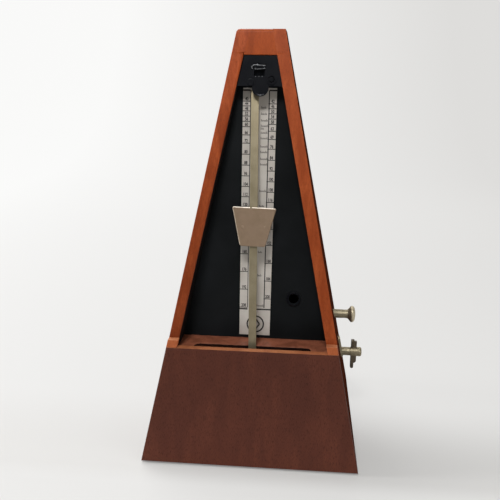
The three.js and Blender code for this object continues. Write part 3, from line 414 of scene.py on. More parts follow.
@dataclass(frozen=True)
class Felt(Finish):
    """Pressed wool felt: matted fibres, no gloss and a pale sheen at the edges."""

    colour: str
    fibre_colour: str
    fibre: float = 0.35
    roughness: float = 0.95
    sheen: float = 0.3

    def dress(self, tree: bpy.types.NodeTree, shader: bpy.types.Node) -> None:
        """Tangled fibres set the colour and a deep, soft bump."""
        fibres = grain(tree, self.fibre, {"Detail": 6.0, "Distortion": 2.0})
        colour, _ = veil(tree, linear(self.colour), linear(self.fibre_colour), fibres, (0, 1))
        tree.links.new(colour, shader.inputs["Base Color"])
        bump = add_node(tree, "ShaderNodeBump", {"Height": fibres, "Strength": 0.6, "Distance": 0.1 * MM})
        tree.links.new(bump.outputs["Normal"], shader.inputs["Normal"])
        shader.inputs["Roughness"].default_value = self.roughness
        shader.inputs["Sheen Weight"].default_value = self.sheen


# The sides lean in by this much, and the grain of each board follows its own edges.
LEAN = 11.4
DIAL_LEAN = 6.96

# Stained and lacquered beech: warm orange brown, with short fine flecks that read as a satin surface. The stiles
# grow darker toward their feet, the left one more: painted shade.
BEECH_LEFT = Wood(
    "stained_beech_left", "#a95027", "#873815", "#5a2a14", band=4.5, turn=(0, -LEAN, 0), foot_tone=0.59
)
BEECH_RIGHT = Wood(
    "stained_beech_right", "#ae552a", "#8e3e1a", "#5a2a14", band=4.5, turn=(0, LEAN, 0), foot_tone=0.78
)
BEECH = Wood("stained_beech", "#a24818", "#86380f", "#5a2a14", band=5)
# The same beech, paler and a little pink, on faces that turn up: a painted highlight where they catch the light.
HIGHLIT_BEECH = Wood("beech_painted_highlight", "#b5764f", "#95593a", "#6a3b25", pore_share=0.2, turn=(0, 90, 0))
# The cover stops: beech painted paler and pinker than the stiles, as if their fronts turned up to the light:
# painted light.
PAINTED_LIGHT_STOP_BEECH = Wood("stop_beech_painted_light", "#b56641", "#9e5430", "#643319", pore_share=0.25)
# The slot's sawn walls, painted nearly black: painted shade inside the deep slot.
SLOT_SHADE = Coating("slot_painted_shade", "#2a1611", "#1c0f0c", roughness=0.8, skin=0.9, relief=0.3, specular=0.05)
# Sliced sapele veneer: dark red brown with upright ribbons and many short pores, so it reads as speckled. The
# front grows lighter toward its foot: painted light from the floor.
SAPELE = Wood(
    "sapele_veneer", "#592e20", "#4c261b", "#200e08", band=8, pore_share=0.5, roughness=0.5, specular=0.2,
    foot_tone=1.22, foot=(4 * MM, 45 * MM),
)
# The same veneer on the sides, its grain along the leaning edges, duller than the front.
SAPELE_LEFT = Wood(
    "sapele_veneer_left", "#572c1d", "#482216", "#200e08", band=14, pore_share=0.5, roughness=0.7,
    specular=0.0, turn=(0, -LEAN, 0),
)
SAPELE_RIGHT = Wood(
    "sapele_veneer_right", "#572c1d", "#482216", "#200e08", band=14, pore_share=0.5, roughness=0.7,
    specular=0.0, turn=(0, LEAN, 0),
)
# Shelf of stained beech with its lacquer worn through: duller and blotchy, with the grain across.
SHELF_BEECH = Wood("worn_shelf_beech", "#a16148", "#774430", "#462517", band=6, specular=0.2, turn=(0, 90, 0))
# Bare limewood, only seen from below and inside: pale and dry.
BARE_WOOD = Wood(
    "bare_limewood", "#9b7a58", "#80613f", "#5a4128", roughness=0.75, specular=0.15, turn=(0, 90, 0)
)
# Black water stain inside the opening: the wood drinks the light.
BLACK_STAIN = Coating("black_stain", "#120e0d", "#191412", roughness=0.75, skin=0.9, relief=0.3, specular=0.1)
# Stoved black enamel on sheet metal: nearly flat black, with a cool and slightly uneven sheen.
ENAMEL = Coating("stoved_enamel", "#0c0e0f", "#16181a", cloud_size=34, roughness=0.5, skin=2.5, specular=0.1)
# Moulded black phenolic: a little softer and greyer than the enamel, with a fine eggshell skin.
PHENOLIC = Coating(
    "moulded_phenolic", "#0f1014", "#141518", roughness=0.4, skin=0.35, relief=0.15, specular=0.05
)
# The same moulding at its lip, glossier and painted grey: a painted highlight for its small grey gleam.
LIP_HIGHLIGHT_BLACK = Coating(
    "lip_painted_highlight", "#303236", "#26282b", roughness=0.25, skin=0.5, relief=0.05, specular=0.3
)
# Silvered brass sheet for the scale, printed by a clear lacquer: pale warm white that is barely metallic.
SILVERING = Coating(
    "silvered_scale", "#cfc9c1", "#c2bbb2", cloud_size=9, roughness=0.38, metallic=0.25, skin=0.5, relief=0.06
)
# Printer's ink on the scale: soft black brown, matt.
INK = Coating("printing_ink", "#2d2928", "#3b3634", roughness=0.65, skin=0.2, specular=0.3)
PALE_INK = Coating("thin_printing_ink", "#403a37", "#514a46", roughness=0.65, skin=0.2, specular=0.3)
# Old nickel plate: yellow grey and satin, drawn lengthwise on the rod, with tarnish where it was handled.
DRAWN_NICKEL = Metal(
    "drawn_nickel", "#a3987f", "#887d63", brushing=(1, 1, 0.04), roughness=0.5, spread=0.08, patch=7.0
)
NICKEL = Metal("satin_nickel", "#a1977f", "#7c725d", roughness=0.54, spread=0.08, patch=2.5)
# The same plate on the pull's head, painted paler with hardly any tarnish: painted light for the head's brighter
# reflection.
PAINTED_LIGHT_NICKEL = Metal("pull_head_painted_light", "#cdc2a9", "#a79c84", roughness=0.54, spread=0.08, patch=2.5)
# The key's wing, its plate painted dark brown: painted shade for the dark reflection on its face, with light only
# along its edges.
PAINTED_SHADE_NICKEL = Metal("wing_painted_shade", "#675d50", "#433a31", roughness=0.34, spread=0.1, patch=2.0, relief=0.2)
# Grey brown metallic lacquer on the weight: a satin skin with a faint cloud.
TAUPE = Coating(
    "metallic_lacquer", "#907a65", "#846f59", cloud_size=6, roughness=0.42, metallic=0.35, skin=0.3,
    relief=0.2,
)
# The weight's upper edge, painted near white: a painted highlight for the thin bright line where it catches the
# light.
TOP_EDGE_HIGHLIGHT = Coating(
    "weight_top_painted_highlight", "#f4e9da", "#e2d4c1", cloud_size=2, roughness=0.45, metallic=0.1, skin=0.3
)
# The weight's left edge, painted paler: a painted highlight where the side light falls.
LEFT_EDGE_HIGHLIGHT = Coating("weight_left_painted_highlight", "#c9b8a4", "#b8a792", cloud_size=2, roughness=0.45, metallic=0.2, skin=0.3)
BRASS = Metal("sheet_brass", "#c9a45c", "#97733a", roughness=0.32, patch=5.0)
STEEL = Metal("bright_steel", "#b4b5b6", "#8d8c88", roughness=0.28, patch=3.0, tarnish_share=0.4)
# Wire that has been stroked dull by the cover it holds: grey, with a soft line of light.
DULL_STEEL = Metal("dull_steel", "#727376", "#4c4c4d", roughness=0.45, patch=1.5)
# Chemically blacked steel: the holder's screw, nearly as dark as the moulding.
BLACKED_STEEL = Metal("blacked_steel", "#151618", "#0f1011", roughness=0.45, patch=1.2)
LEAD = Metal("cast_lead", "#6c6e72", "#54565a", roughness=0.62, spread=0.08, patch=3.0, relief=0.5)
GREEN_FELT = Felt("green_felt", "#2b4732", "#3f5e46")

FINISH_OF_SLOT: dict[str, Finish] = {
    "pale_wood": BEECH,
    "dark_wood": SAPELE,
    "shelf_wood": BARE_WOOD,
    "felt": GREEN_FELT,
    "black_paint": ENAMEL,
    "black_plastic": PHENOLIC,
    "silver_scale": SILVERING,
    "nickel": NICKEL,
    "brass": BRASS,
    "steel": STEEL,
    "lead": LEAD,
    "taupe_paint": TAUPE,
}


# Modelling


def choose_only(piece: bpy.types.Object) -> None:
    """Makes a piece the only selected object, and the active one."""
    bpy.ops.object.select_all(action="DESELECT")
    bpy.context.view_layer.objects.active = piece
    piece.select_set(True)


@contextmanager
def editing(piece: bpy.types.Object, mode: str = "FACE") -> Iterator[bmesh.types.BMesh]:
    """Holds a piece in edit mode with nothing selected.

    Args:
        piece: The mesh object to edit.
        mode: What is selected: VERT, EDGE or FACE.

    Yields:
        The edit mesh, in which elements are selected by their place.
    """
    choose_only(piece)
    bpy.ops.object.mode_set(mode="EDIT")
    bpy.ops.mesh.select_mode(type=mode)
    bpy.ops.mesh.select_all(action="DESELECT")
    mesh = bmesh.from_edit_mesh(piece.data)
    yield mesh
    bpy.ops.object.mode_set(mode="OBJECT")


def settle(piece: bpy.types.Object) -> None:
    """Puts a piece's place, turn and scale into its mesh."""
    choose_only(piece)
    bpy.ops.object.transform_apply(location=True, rotation=True, scale=True)


def carried_over(node: str, name: str) -> bpy.types.Object:
    """Copies a CAD node's shape into a new piece with whole, flat faces.

    Args:
        node: The CAD node's name.
        name: The new piece's name.

    Returns:
        The new piece, without a material.
    """
    piece = bpy.data.objects.new(name, frame["nodes"][node].data.copy())
    bpy.context.scene.collection.objects.link(piece)
    piece.data.materials.clear()
    with editing(piece, "VERT"):
        bpy.ops.mesh.customdata_custom_splitnormals_clear()
        bpy.ops.mesh.select_all(action="SELECT")
        bpy.ops.mesh.remove_doubles(threshold=WELD)
        bpy.ops.mesh.dissolve_limited(angle_limit=math.radians(FLAT))
        bpy.ops.mesh.normals_make_consistent(inside=False)
    return piece


def round_between(
    piece: bpy.types.Object,
    pairs: Sequence[tuple[Side, Side]],
    width: float,
    segments: int = 3,
    within: Callable[[Vector], bool] = lambda middle: True,
    slot: int = -1,
) -> None:
    """Rounds the edges where two sides of a board meet.

    Args:
        piece: The board.
        pairs: The two sides at each edge to round.
        width: The rounding's width in metres.
        segments: How many faces the rounding has.
        within: Says by its middle whether an edge is rounded.
        slot: The material slot of the rounding, or -1 for its neighbours'.
    """
    wanted = [frozenset(pair) for pair in pairs]
    with editing(piece, "EDGE") as mesh:
        for edge in mesh.edges:
            sides = frozenset(Side.of(face.normal) for face in edge.link_faces)
            middle = (edge.verts[0].co + edge.verts[1].co) / 2
            if sides in wanted and within(middle):
                edge.select_set(True)
        bpy.ops.mesh.bevel(offset=width, segments=segments, affect="EDGES", clamp_overlap=True, material=slot)


def ease_edges(piece: bpy.types.Object, width: float, segments: int = 2, angle: float = 30) -> None:
    """Breaks every sharp edge of a piece, and smooths what is left.

    Args:
        piece: The piece.
        width: The width of the broken edge, in metres.
        segments: How many faces it has.
        angle: The least angle that counts as sharp, in degrees.
    """
    choose_only(piece)
    bevel = piece.modifiers.new("eased_edges", "BEVEL")
    bevel.width = width
    bevel.segments = segments
    bevel.limit_method = "ANGLE"
    bevel.angle_limit = math.radians(angle)
    bpy.ops.object.modifier_apply(modifier=bevel.name)
    smooth(piece, angle)


def smooth(piece: bpy.types.Object, angle: float = 30) -> None:
    """Shades a piece smooth across its roundings, and keeps its flat faces flat.

    Args:
        piece: The piece.
        angle: The least angle that stays a sharp edge, in degrees.
    """
    choose_only(piece)
    bpy.ops.object.shade_smooth_by_angle(angle=math.radians(angle))
    flat = piece.modifiers.new("flat_faces", "WEIGHTED_NORMAL")
    flat.keep_sharp = True
    bpy.ops.object.modifier_apply(modifier=flat.name)


def paint(piece: bpy.types.Object, ground: Finish, sides: Optional[Mapping[Side, Finish]] = None) -> None:
    """Gives a piece its finishes, side by side.

    Args:
        piece: The piece.
        ground: The finish of every side that isn't named.
        sides: The finish of each named side.
    """
    named = sides or {}
    finishes = list(dict.fromkeys([ground, *named.values()]))
    piece.data.materials.clear()
    for finish in finishes:
        piece.data.materials.append(material_of(finish))
    for face in piece.data.polygons:
        face.material_index = finishes.index(named.get(Side.of(face.normal), ground))


def primitive(
    add: Callable[..., object], name: str, scale: Vertex = (1, 1, 1), **settings: object
) -> bpy.types.Object:
    """Adds one of Blender's own shapes, its place, turn and size in its mesh.

    Args:
        add: The operator that adds it.
        name: The piece's name.
        scale: How much it is drawn out along each axis.
        **settings: What the operator is given.

    Returns:
        The new piece.
    """
    bpy.ops.object.select_all(action="DESELECT")
    add(**settings)
    piece = bpy.context.object
    piece.name = piece.data.name = name
    piece.scale = scale
    settle(piece)
    return piece


def cut_away(piece: bpy.types.Object, tool: bpy.types.Object) -> None:
    """Cuts a tool's shape out of a piece, and takes the tool away.

    Args:
        piece: The piece.
        tool: The shape to cut out.
    """
    cut = piece.modifiers.new(tool.name, "BOOLEAN")
    cut.operation = "DIFFERENCE"
    cut.object = tool
    choose_only(piece)
    bpy.ops.object.modifier_apply(modifier=cut.name)
    bpy.data.objects.remove(tool)


def turned(
    name: str, profile: Sequence[tuple[float, float]], axis: Axis, place: Vector, steps: int = 48
) -> bpy.types.Object:
    """Turns a piece on a lathe: a disc drawn out and resized along its axis.

    Args:
        name: The piece's name.
        profile: Radius and distance along the axis, from one end to the other, in metres.
        axis: The axis that the piece turns about.
        place: A point on that axis.
        steps: How many sides the round has.

    Returns:
        The new piece, its place in its mesh.
    """
    rings = [(max(radius, LEAST_RADIUS), height) for radius, height in profile]
    radius, height = rings[0]
    piece = primitive(
        bpy.ops.mesh.primitive_circle_add,
        name,
        vertices=steps,
        radius=radius,
        fill_type="NGON",
        location=(0, 0, height),
    )
    with editing(piece, "FACE"):
        bpy.ops.mesh.select_all(action="SELECT")
        for next_radius, next_height in rings[1:]:
            bpy.ops.mesh.extrude_region_move(TRANSFORM_OT_translate={"value": (0, 0, next_height - height)})
            ratio = next_radius / radius
            bpy.ops.transform.resize(value=(ratio, ratio, 1), center_override=(0, 0, next_height))
            radius, height = next_radius, next_height
        bpy.ops.mesh.select_all(action="SELECT")
        bpy.ops.mesh.normals_make_consistent(inside=False)
    turns = {Axis.X: (0, math.pi / 2, 0), Axis.Z: (0, 0, 0)}
    piece.rotation_euler = turns[axis]
    across = place.copy()
    across[axis.value] = 0
    piece.location = across
    settle(piece)
    return piece


def button(name: str, profile: Sequence[tuple[float, float]], place: Vector, steps: int) -> bpy.types.Object:
    """Turns a small round piece that sits on a face with the case's lean.

    Args:
        name: The piece's name.
        profile: Radius and distance in front of the face, in metres.
        place: Its middle, on the face.
        steps: How many sides the round has.

    Returns:
        The new piece, its place in its mesh.
    """
    piece = turned(name, profile, Axis.Z, Vector(), steps)
    piece.rotation_euler = (math.radians(90 - LEAN), 0, 0)
    piece.location = place
    settle(piece)
    return piece


def profile_of(node: str, axis: Axis, place: Vector) -> list[tuple[float, float]]:
    """Reads a turned CAD node's profile back from its mesh.

    Args:
        node: A node that is turned about one axis, thicker or thinner along it but never hooked.
        axis: Its axis.
        place: A point on the axis.

    Returns:
        Radius and distance along the axis at each ring, in order.
    """
    rings: set[tuple[float, float]] = set()
    for vertex in frame["nodes"][node].data.vertices:
        offset = vertex.co - place
        height = round(vertex.co[axis.value], 6)
        offset[axis.value] = 0
        rings.add((round(offset.length, 5), height))
    ordered: list[tuple[float, float]] = []
    for height in sorted({ring[1] for ring in rings}):
        radii = sorted(ring[0] for ring in rings if ring[1] == height)
        if ordered and abs(radii[-1] - ordered[-1][0]) < abs(radii[0] - ordered[-1][0]):
            radii.reverse()
        ordered.extend((radius, height) for radius in dict.fromkeys([radii[0], radii[-1]]))
    return ordered


def hand_over(piece: bpy.types.Object, body: str, slot: str, *nodes: str) -> None:
    """Puts a finished piece on its body, in place of CAD nodes.

    Args:
        piece: The finished piece.
        body: The CAD body that it moves with.
        slot: The record's material slot; not used.
        *nodes: The CAD nodes that it stands for.
    """
    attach(piece, body)
    if nodes:
        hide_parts(*nodes)
    log.info("%s rides on %s for %s", piece.name, body, ", ".join(nodes) or "itself")


def joint_place(name: str) -> Vector:
    """Returns the point that a hinge of the record turns about."""
    joint = next(joint for joint in frame["joints"] if joint["name"] == name)
    return Vector(joint["pos_m"])


def show_eased(
    node: str,
    name: str,
    width: float,
    finish: Finish,
    body: str,
    slot: str,
    segments: int = 2,
    angle: float = 30,
) -> None:
    """Shows a CAD node as a piece of one finish with its edges broken.

    Args:
        node: The CAD node.
        name: The piece's name.
        width: The width of the broken edges.
        finish: The piece's finish.
        body: The CAD body that it moves with.
        slot: The record's material slot.
        segments: How many faces a broken edge has.
        angle: The least angle that counts as sharp, in degrees.
    """
    piece = carried_over(node, name)
    ease_edges(piece, width, segments, angle)
    paint(piece, finish)
    hand_over(piece, body, slot, node)


@dataclass
class Case:
    """The wooden case: veneered boards with beech edges, shelf, cover stops, base, feet and screws."""

    arris: float = 0.4 * MM
    panel_arris: float = 0.24 * MM
    inner_round: float = 1.5 * MM
    crown: float = 1.7 * MM
    top_arris: float = 0.15 * MM
    back_arris: float = 0.3 * MM
    base_arris: float = 0.2 * MM
    shelf_round: float = 0.3 * MM
    slot_reach: float = 12 * MM
    slot_margin: float = 4 * MM
    hammer_relief: float = 0.9 * MM
    felt_round: float = 0.3 * MM
    screw_edge: float = 0.15 * MM
    screw_slot: float = 0.9 * MM
    screw_slot_depth: float = 0.8 * MM
    screw_slot_run: float = 1.2

    def build(self) -> None:
        """Builds and dresses every part of the case."""
        self.side("case_side_left", Side.LEFT, Side.RIGHT, BEECH_LEFT, SAPELE_LEFT)
        self.side("case_side_right", Side.RIGHT, Side.LEFT, BEECH_RIGHT, SAPELE_RIGHT)
        self.boards()
        self.cover_stops()
        self.shelf()
        show_eased("case_base", "case_base_board", self.base_arris, BARE_WOOD, "case", "shelf_wood", 1, 60)
        self.feet()
        self.base_screws()

    def side(self, node: str, outer: Side, inner: Side, edge: Finish, face: Finish) -> None:
        """Builds a side board, rounded on its front and at the top.

        Args:
            node: The CAD node.
            outer: The side that faces away from the case.
            inner: The side that faces the opening.
            edge: The finish of the board's front and back edges.
            face: The finish of its outer face.
        """
        opening_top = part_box("case_bridge")[0].z
        piece = carried_over(node, node + "_board")
        with editing(piece, "EDGE"):
            for height in (opening_top, opening_top + self.inner_round):
                bpy.ops.mesh.select_all(action="SELECT")
                bpy.ops.mesh.bisect(plane_co=(0, 0, height), plane_no=(0, 0, 1))
        round_between(piece, [(side, Side.TOP) for side in (Side.FRONT, outer, Side.BACK)], self.crown, 4)
        below = [(Side.FRONT, inner)]
        round_between(piece, below, self.inner_round, 5, lambda middle: middle.z < opening_top)
        paint(piece, edge, {outer: face, inner: BLACK_STAIN})
        rim = [(side, outer) for side in (Side.FRONT, Side.BACK, Side.BOTTOM)]
        round_between(piece, rim, self.arris, slot=0)
        smooth(piece)
        hand_over(piece, "case", "pale_wood", node)

    def boards(self) -> None:
        """Builds the bridge over the opening, the top, the veneered back and the veneered front panel."""
        front_top, back_top = (Side.FRONT, Side.TOP), (Side.BACK, Side.TOP)
        top_ends = [(Side.LEFT, Side.TOP), (Side.RIGHT, Side.TOP)]
        back_ends = [(Side.BACK, Side.LEFT), (Side.BACK, Side.RIGHT)]
        panel_rim = [(Side.FRONT, side) for side in (Side.LEFT, Side.RIGHT, Side.BOTTOM)]
        self.board(
            "case_bridge",
            "case_bridge_board",
            [([front_top], self.crown, 4), ([(Side.FRONT, Side.BOTTOM)], self.arris, 3)],
            BEECH,
        )
        self.board("case_top", "case_top_board", [(top_ends, self.top_arris, 1)], BEECH)
        self.board(
            "case_back",
            "case_back_board",
            [
                ([back_top], self.crown, 4),
                (back_ends, self.back_arris, 2),
                ([(Side.BACK, Side.BOTTOM)], self.arris, 3),
            ],
            BARE_WOOD,
            {Side.BACK: SAPELE, Side.TOP: BEECH},
        )
        self.board(
            "case_front_panel",
            "case_front_board",
            [(panel_rim, self.arris, 3), ([front_top], self.panel_arris, 3)],
            SAPELE,
            # The ledge on top is painted paler: a painted highlight.
            {Side.TOP: HIGHLIT_BEECH, Side.BACK: BARE_WOOD},
            "dark_wood",
        )

    def board(
        self,
        node: str,
        name: str,
        roundings: Sequence[tuple[Sequence[tuple[Side, Side]], float, int]],
        ground: Finish,
        sides: Optional[Mapping[Side, Finish]] = None,
        slot: str = "pale_wood",
    ) -> None:
        """Builds one board.

        Args:
            node: The CAD node.
            name: The board's name.
            roundings: The edges to round, each with the rounding's width and number of faces.
            ground: The finish of every side that isn't named.
            sides: The finish of each named side.
            slot: The record's material slot.
        """
        piece = carried_over(node, name)
        for pairs, width, segments in roundings:
            round_between(piece, pairs, width, segments)
        paint(piece, ground, sides)
        smooth(piece)
        hand_over(piece, "case", slot, node)

    def cover_stops(self) -> None:
        """Builds the two blocks at the stiles' feet that the cover stands on, painted paler than the stiles as
        painted light.
        """
        for node in ("cover_stop_left", "cover_stop_right"):
            piece = carried_over(node, node + "_block")
            ease_edges(piece, self.arris, 3)
            # Fronts and tops painted paler than the stiles: painted light and a painted highlight.
            paint(piece, PAINTED_LIGHT_STOP_BEECH, {Side.TOP: HIGHLIT_BEECH})
            hand_over(piece, "case", "pale_wood", node)

    def shelf(self) -> None:
        """Builds the shelf: the slot's rim is worn round, the back edge eased for the hammer's swing, and the
        slot's walls painted nearly black as painted shade.
        """
        low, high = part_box("case_shelf")
        left, right = low.x + self.slot_margin, high.x - self.slot_margin
        slot_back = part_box("pendulum_hub")[1].y + self.slot_reach
        piece = carried_over("case_shelf", "case_shelf_board")
        round_between(
            piece,
            [(Side.TOP, side) for side in (Side.FRONT, Side.LEFT, Side.RIGHT)],
            self.shelf_round,
            3,
            lambda middle: left < middle.x < right and middle.y < slot_back,
        )
        round_between(piece, [(Side.BACK, Side.BOTTOM)], self.hammer_relief, 2)
        # The slot's walls are painted nearly black: painted shade.
        paint(piece, SLOT_SHADE, {Side.TOP: SHELF_BEECH, Side.BOTTOM: BARE_WOOD})
        smooth(piece)
        hand_over(piece, "case", "shelf_wood", "case_shelf")

    def feet(self) -> None:
        """Turns the four felt pads, soft at the rim."""
        for number in range(1, 5):
            node = f"felt_foot_{number}"
            low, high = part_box(node)
            radius = (high.x - low.x) / 2
            soft = radius - self.felt_round
            profile = [
                (soft, low.z),
                (radius, low.z + self.felt_round),
                (radius, high.z - self.felt_round),
                (soft, high.z),
            ]
            piece = turned(f"felt_pad_{number}", profile, Axis.Z, (low + high) / 2)
            paint(piece, GREEN_FELT)
            smooth(piece, 50)
            hand_over(piece, "case", "felt", node)

    def base_screws(self) -> None:
        """Turns the slotted screws that hold the movement to the base."""
        for number in range(1, 5):
            node = f"base_screw_{number}"
            low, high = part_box(node)
            middle = (low + high) / 2
            profile = profile_of(node, Axis.Z, middle)
            piece = turned(f"slotted_base_screw_{number}", profile, Axis.Z, middle, 32)
            blade = primitive(
                bpy.ops.mesh.primitive_cube_add,
                "screw_slot",
                (self.screw_slot_run * (high.x - low.x), self.screw_slot, 2 * self.screw_slot_depth),
                size=1,
                location=(middle.x, middle.y, low.z),
            )
            cut_away(piece, blade)
            ease_edges(piece, self.screw_edge)
            paint(piece, STEEL)
            hand_over(piece, "case", "steel", node)


@dataclass
class Dial:
    """The black dial plate, the rod holder under the bridge and their small hardware.

    Places are measured from the middle of the rod holder's lower end, unless they say otherwise. The wire's
    paths are shares of the catch spring's box, across and up.
    """

    plate_edge: float = 0.15 * MM
    holder_edge: float = 0.3 * MM
    lip_radius: float = 0.42 * MM
    lip_drop: float = 0.55 * MM
    lip_bend: float = 2.0 * MM
    lip_rise: float = 1.1 * MM
    lip_shift: float = 0.3 * MM
    stud_radius: float = 0.28 * MM
    stud_step: float = 1.7 * MM
    stud_shift: float = 0.4 * MM
    stud_shape: Vertex = (1, 0.6, 0.8)
    window_sill: float = 9.9 * MM
    boss_radius: float = 1.9 * MM
    boss_root: float = -0.35 * MM
    boss_wall: float = 0.3 * MM
    boss_crown: float = 0.45 * MM
    boss_place: tuple[float, float] = (-4.7 * MM, 7.0 * MM)
    eyelet_radius: float = 3.35 * MM
    eyelet_roll: float = 0.5 * MM
    rim_proud: float = 0.3 * MM
    foot_height: float = 1 * MM
    wire_radius: float = 0.3 * MM
    return_radius: float = 0.2 * MM
    hook_path: tuple[tuple[float, float], ...] = (
        (0.08, 0.1),
        (0.07, 0.48),
        (0.24, 0.72),
        (0.6, 0.66),
        (0.97, 0.62),
    )
    return_path: tuple[tuple[float, float], ...] = ((0.2, 0.1), (0.55, 0.06), (0.97, 0.2))

    def build(self) -> None:
        """Builds the plate, the holder and what is fixed to it."""
        show_eased("dial_plate", "enamelled_dial", self.plate_edge, ENAMEL, "case", "black_paint", 2, 40)
        show_eased(
            "rod_holder", "moulded_rod_holder", self.holder_edge, PHENOLIC, "case", "black_plastic", 3, 35
        )
        self.tongue_lip()
        self.window_studs()
        self.left_boss()
        self.hole_eyelet()
        self.wire("catch_hook", self.hook_path, self.wire_radius, "catch_spring")
        self.wire("catch_return", self.return_path, self.return_radius)
        show_eased("holder_screw", "blacked_holder_screw", self.plate_edge, BLACKED_STEEL, "case", "steel")

    def on_holder(self, across: float, up: float) -> Vector:
        """Finds a place on the holder's sloping front face.

        Args:
            across: How far right of the holder's middle it is.
            up: How far above its lower end it is.

        Returns:
            The place.
        """
        low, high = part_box("rod_holder")
        height = low.z + up
        return Vector(((low.x + high.x) / 2 + across, self.face_of_holder(height), height))

    @staticmethod
    def face_of_holder(height: float) -> float:
        """Returns the y of the holder's sloping front face at a height."""
        corners = [vertex.co for vertex in frame["nodes"]["rod_holder"].data.vertices]
        top = max(corners, key=lambda co: (round(co.z, 5), -co.y))
        low_z = min(co.z for co in corners)
        bottom = min((co for co in corners if co.z < low_z + 0.3 * MM), key=lambda co: co.y)
        share = (height - bottom.z) / (top.z - bottom.z)
        return bottom.y + share * (top.y - bottom.y)

    @staticmethod
    def ring(name: str, centre: Vector, lean: float, radius: float, thickness: float) -> bpy.types.Object:
        """Bends a round ring that lies on a leaning face.

        Args:
            name: The ring's name.
            centre: Its middle.
            lean: How far the face leans back, in degrees.
            radius: The ring's radius.
            thickness: The radius of its section.

        Returns:
            The ring, its place in its mesh.
        """
        return primitive(
            bpy.ops.mesh.primitive_torus_add,
            name,
            major_radius=radius,
            minor_radius=thickness,
            major_segments=48,
            minor_segments=12,
            location=centre,
            rotation=(math.radians(90 - lean), 0, 0),
        )

    def tongue_lip(self) -> None:
        """Bends the raised lip round the tongue's lower end, where the rod is pushed in."""
        centre = self.on_holder(self.lip_shift, self.lip_drop + self.lip_bend)
        piece = self.ring("tongue_lip", centre, LEAN, self.lip_bend, self.lip_radius)
        with editing(piece, "FACE"):
            bpy.ops.mesh.select_all(action="SELECT")
            bpy.ops.mesh.bisect(
                plane_co=(0, 0, centre.z - self.lip_rise), plane_no=(0, 0, 1), clear_outer=True, use_fill=True
            )
        # Painted grey: a painted highlight on the lip.
        paint(piece, LIP_HIGHLIGHT_BLACK)
        smooth(piece, 50)
        hand_over(piece, "case", "black_plastic")

    def window_studs(self) -> None:
        """Sets the three small studs along the window's lower edge, under the middle of the catch."""
        low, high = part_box("catch_spring")
        place = self.on_holder(0, self.window_sill)
        for number in (-1, 0, 1):
            place.x = (low.x + high.x) / 2 + self.stud_shift + number * self.stud_step
            piece = primitive(
                bpy.ops.mesh.primitive_uv_sphere_add,
                f"window_stud_{number + 2}",
                self.stud_shape,
                segments=16,
                ring_count=10,
                radius=self.stud_radius,
                location=place,
            )
            paint(piece, DULL_STEEL)
            smooth(piece, 60)
            hand_over(piece, "case", "steel")

    def left_boss(self) -> None:
        """Turns the low moulded boss left of the tongue."""
        radius = self.boss_radius
        profile = [
            (radius, self.boss_root),
            (radius, self.boss_wall),
            (radius * 0.7, self.boss_crown),
            (radius * 0.5, self.boss_wall),
        ]
        piece = button("holder_boss_left", profile, self.on_holder(*self.boss_place), 32)
        paint(piece, PHENOLIC)
        smooth(piece, 40)
        hand_over(piece, "case", "black_plastic")

    def hole_eyelet(self) -> None:
        """Rolls the eyelet round the dial's hole."""
        piece = self.ring("hole_eyelet", self.hole_centre(), DIAL_LEAN, self.eyelet_radius, self.eyelet_roll)
        paint(piece, PHENOLIC)
        smooth(piece, 50)
        hand_over(piece, "case", "black_paint")

    def hole_centre(self) -> Vector:
        """Finds the middle of the rim round the dial's hole, which stands proud of the plate."""
        low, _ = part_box("dial_plate")
        slope = math.tan(math.radians(DIAL_LEAN))
        corners = [vertex.co for vertex in frame["nodes"]["dial_plate"].data.vertices]
        foot = min(co.y for co in corners if co.z < low.z + self.foot_height)
        proud = [co for co in corners if co.y - foot - (co.z - low.z) * slope < -self.rim_proud]
        return sum(proud, Vector()) / len(proud)

    def wire(self, name: str, path: Sequence[tuple[float, float]], radius: float, *nodes: str) -> None:
        """Bends one wire of the cover's catch, which lies against the holder.

        Args:
            name: The wire's name.
            path: Where it passes, as shares of the catch spring's box.
            radius: The wire's radius.
            *nodes: The CAD nodes that it stands for.
        """
        low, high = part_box("catch_spring")
        bpy.ops.object.select_all(action="DESELECT")
        bpy.ops.curve.primitive_bezier_curve_add()
        curve = bpy.context.object.data
        points = curve.splines[0].bezier_points
        points.add(len(path) - len(points))
        for point, (across, up) in zip(points, path):
            x, z = low.x + across * (high.x - low.x), low.z + up * (high.z - low.z)
            point.co = Vector((x, self.face_of_holder(z) - radius, z))
            point.handle_left_type = point.handle_right_type = "AUTO"
        curve.bevel_depth = radius
        curve.bevel_resolution = 3
        curve.use_fill_caps = True
        bpy.ops.object.convert(target="MESH")
        piece = bpy.context.object
        piece.name = piece.data.name = name
        settle(piece)
        paint(piece, DULL_STEEL)
        smooth(piece, 60)
        hand_over(piece, "case", "steel", *nodes)


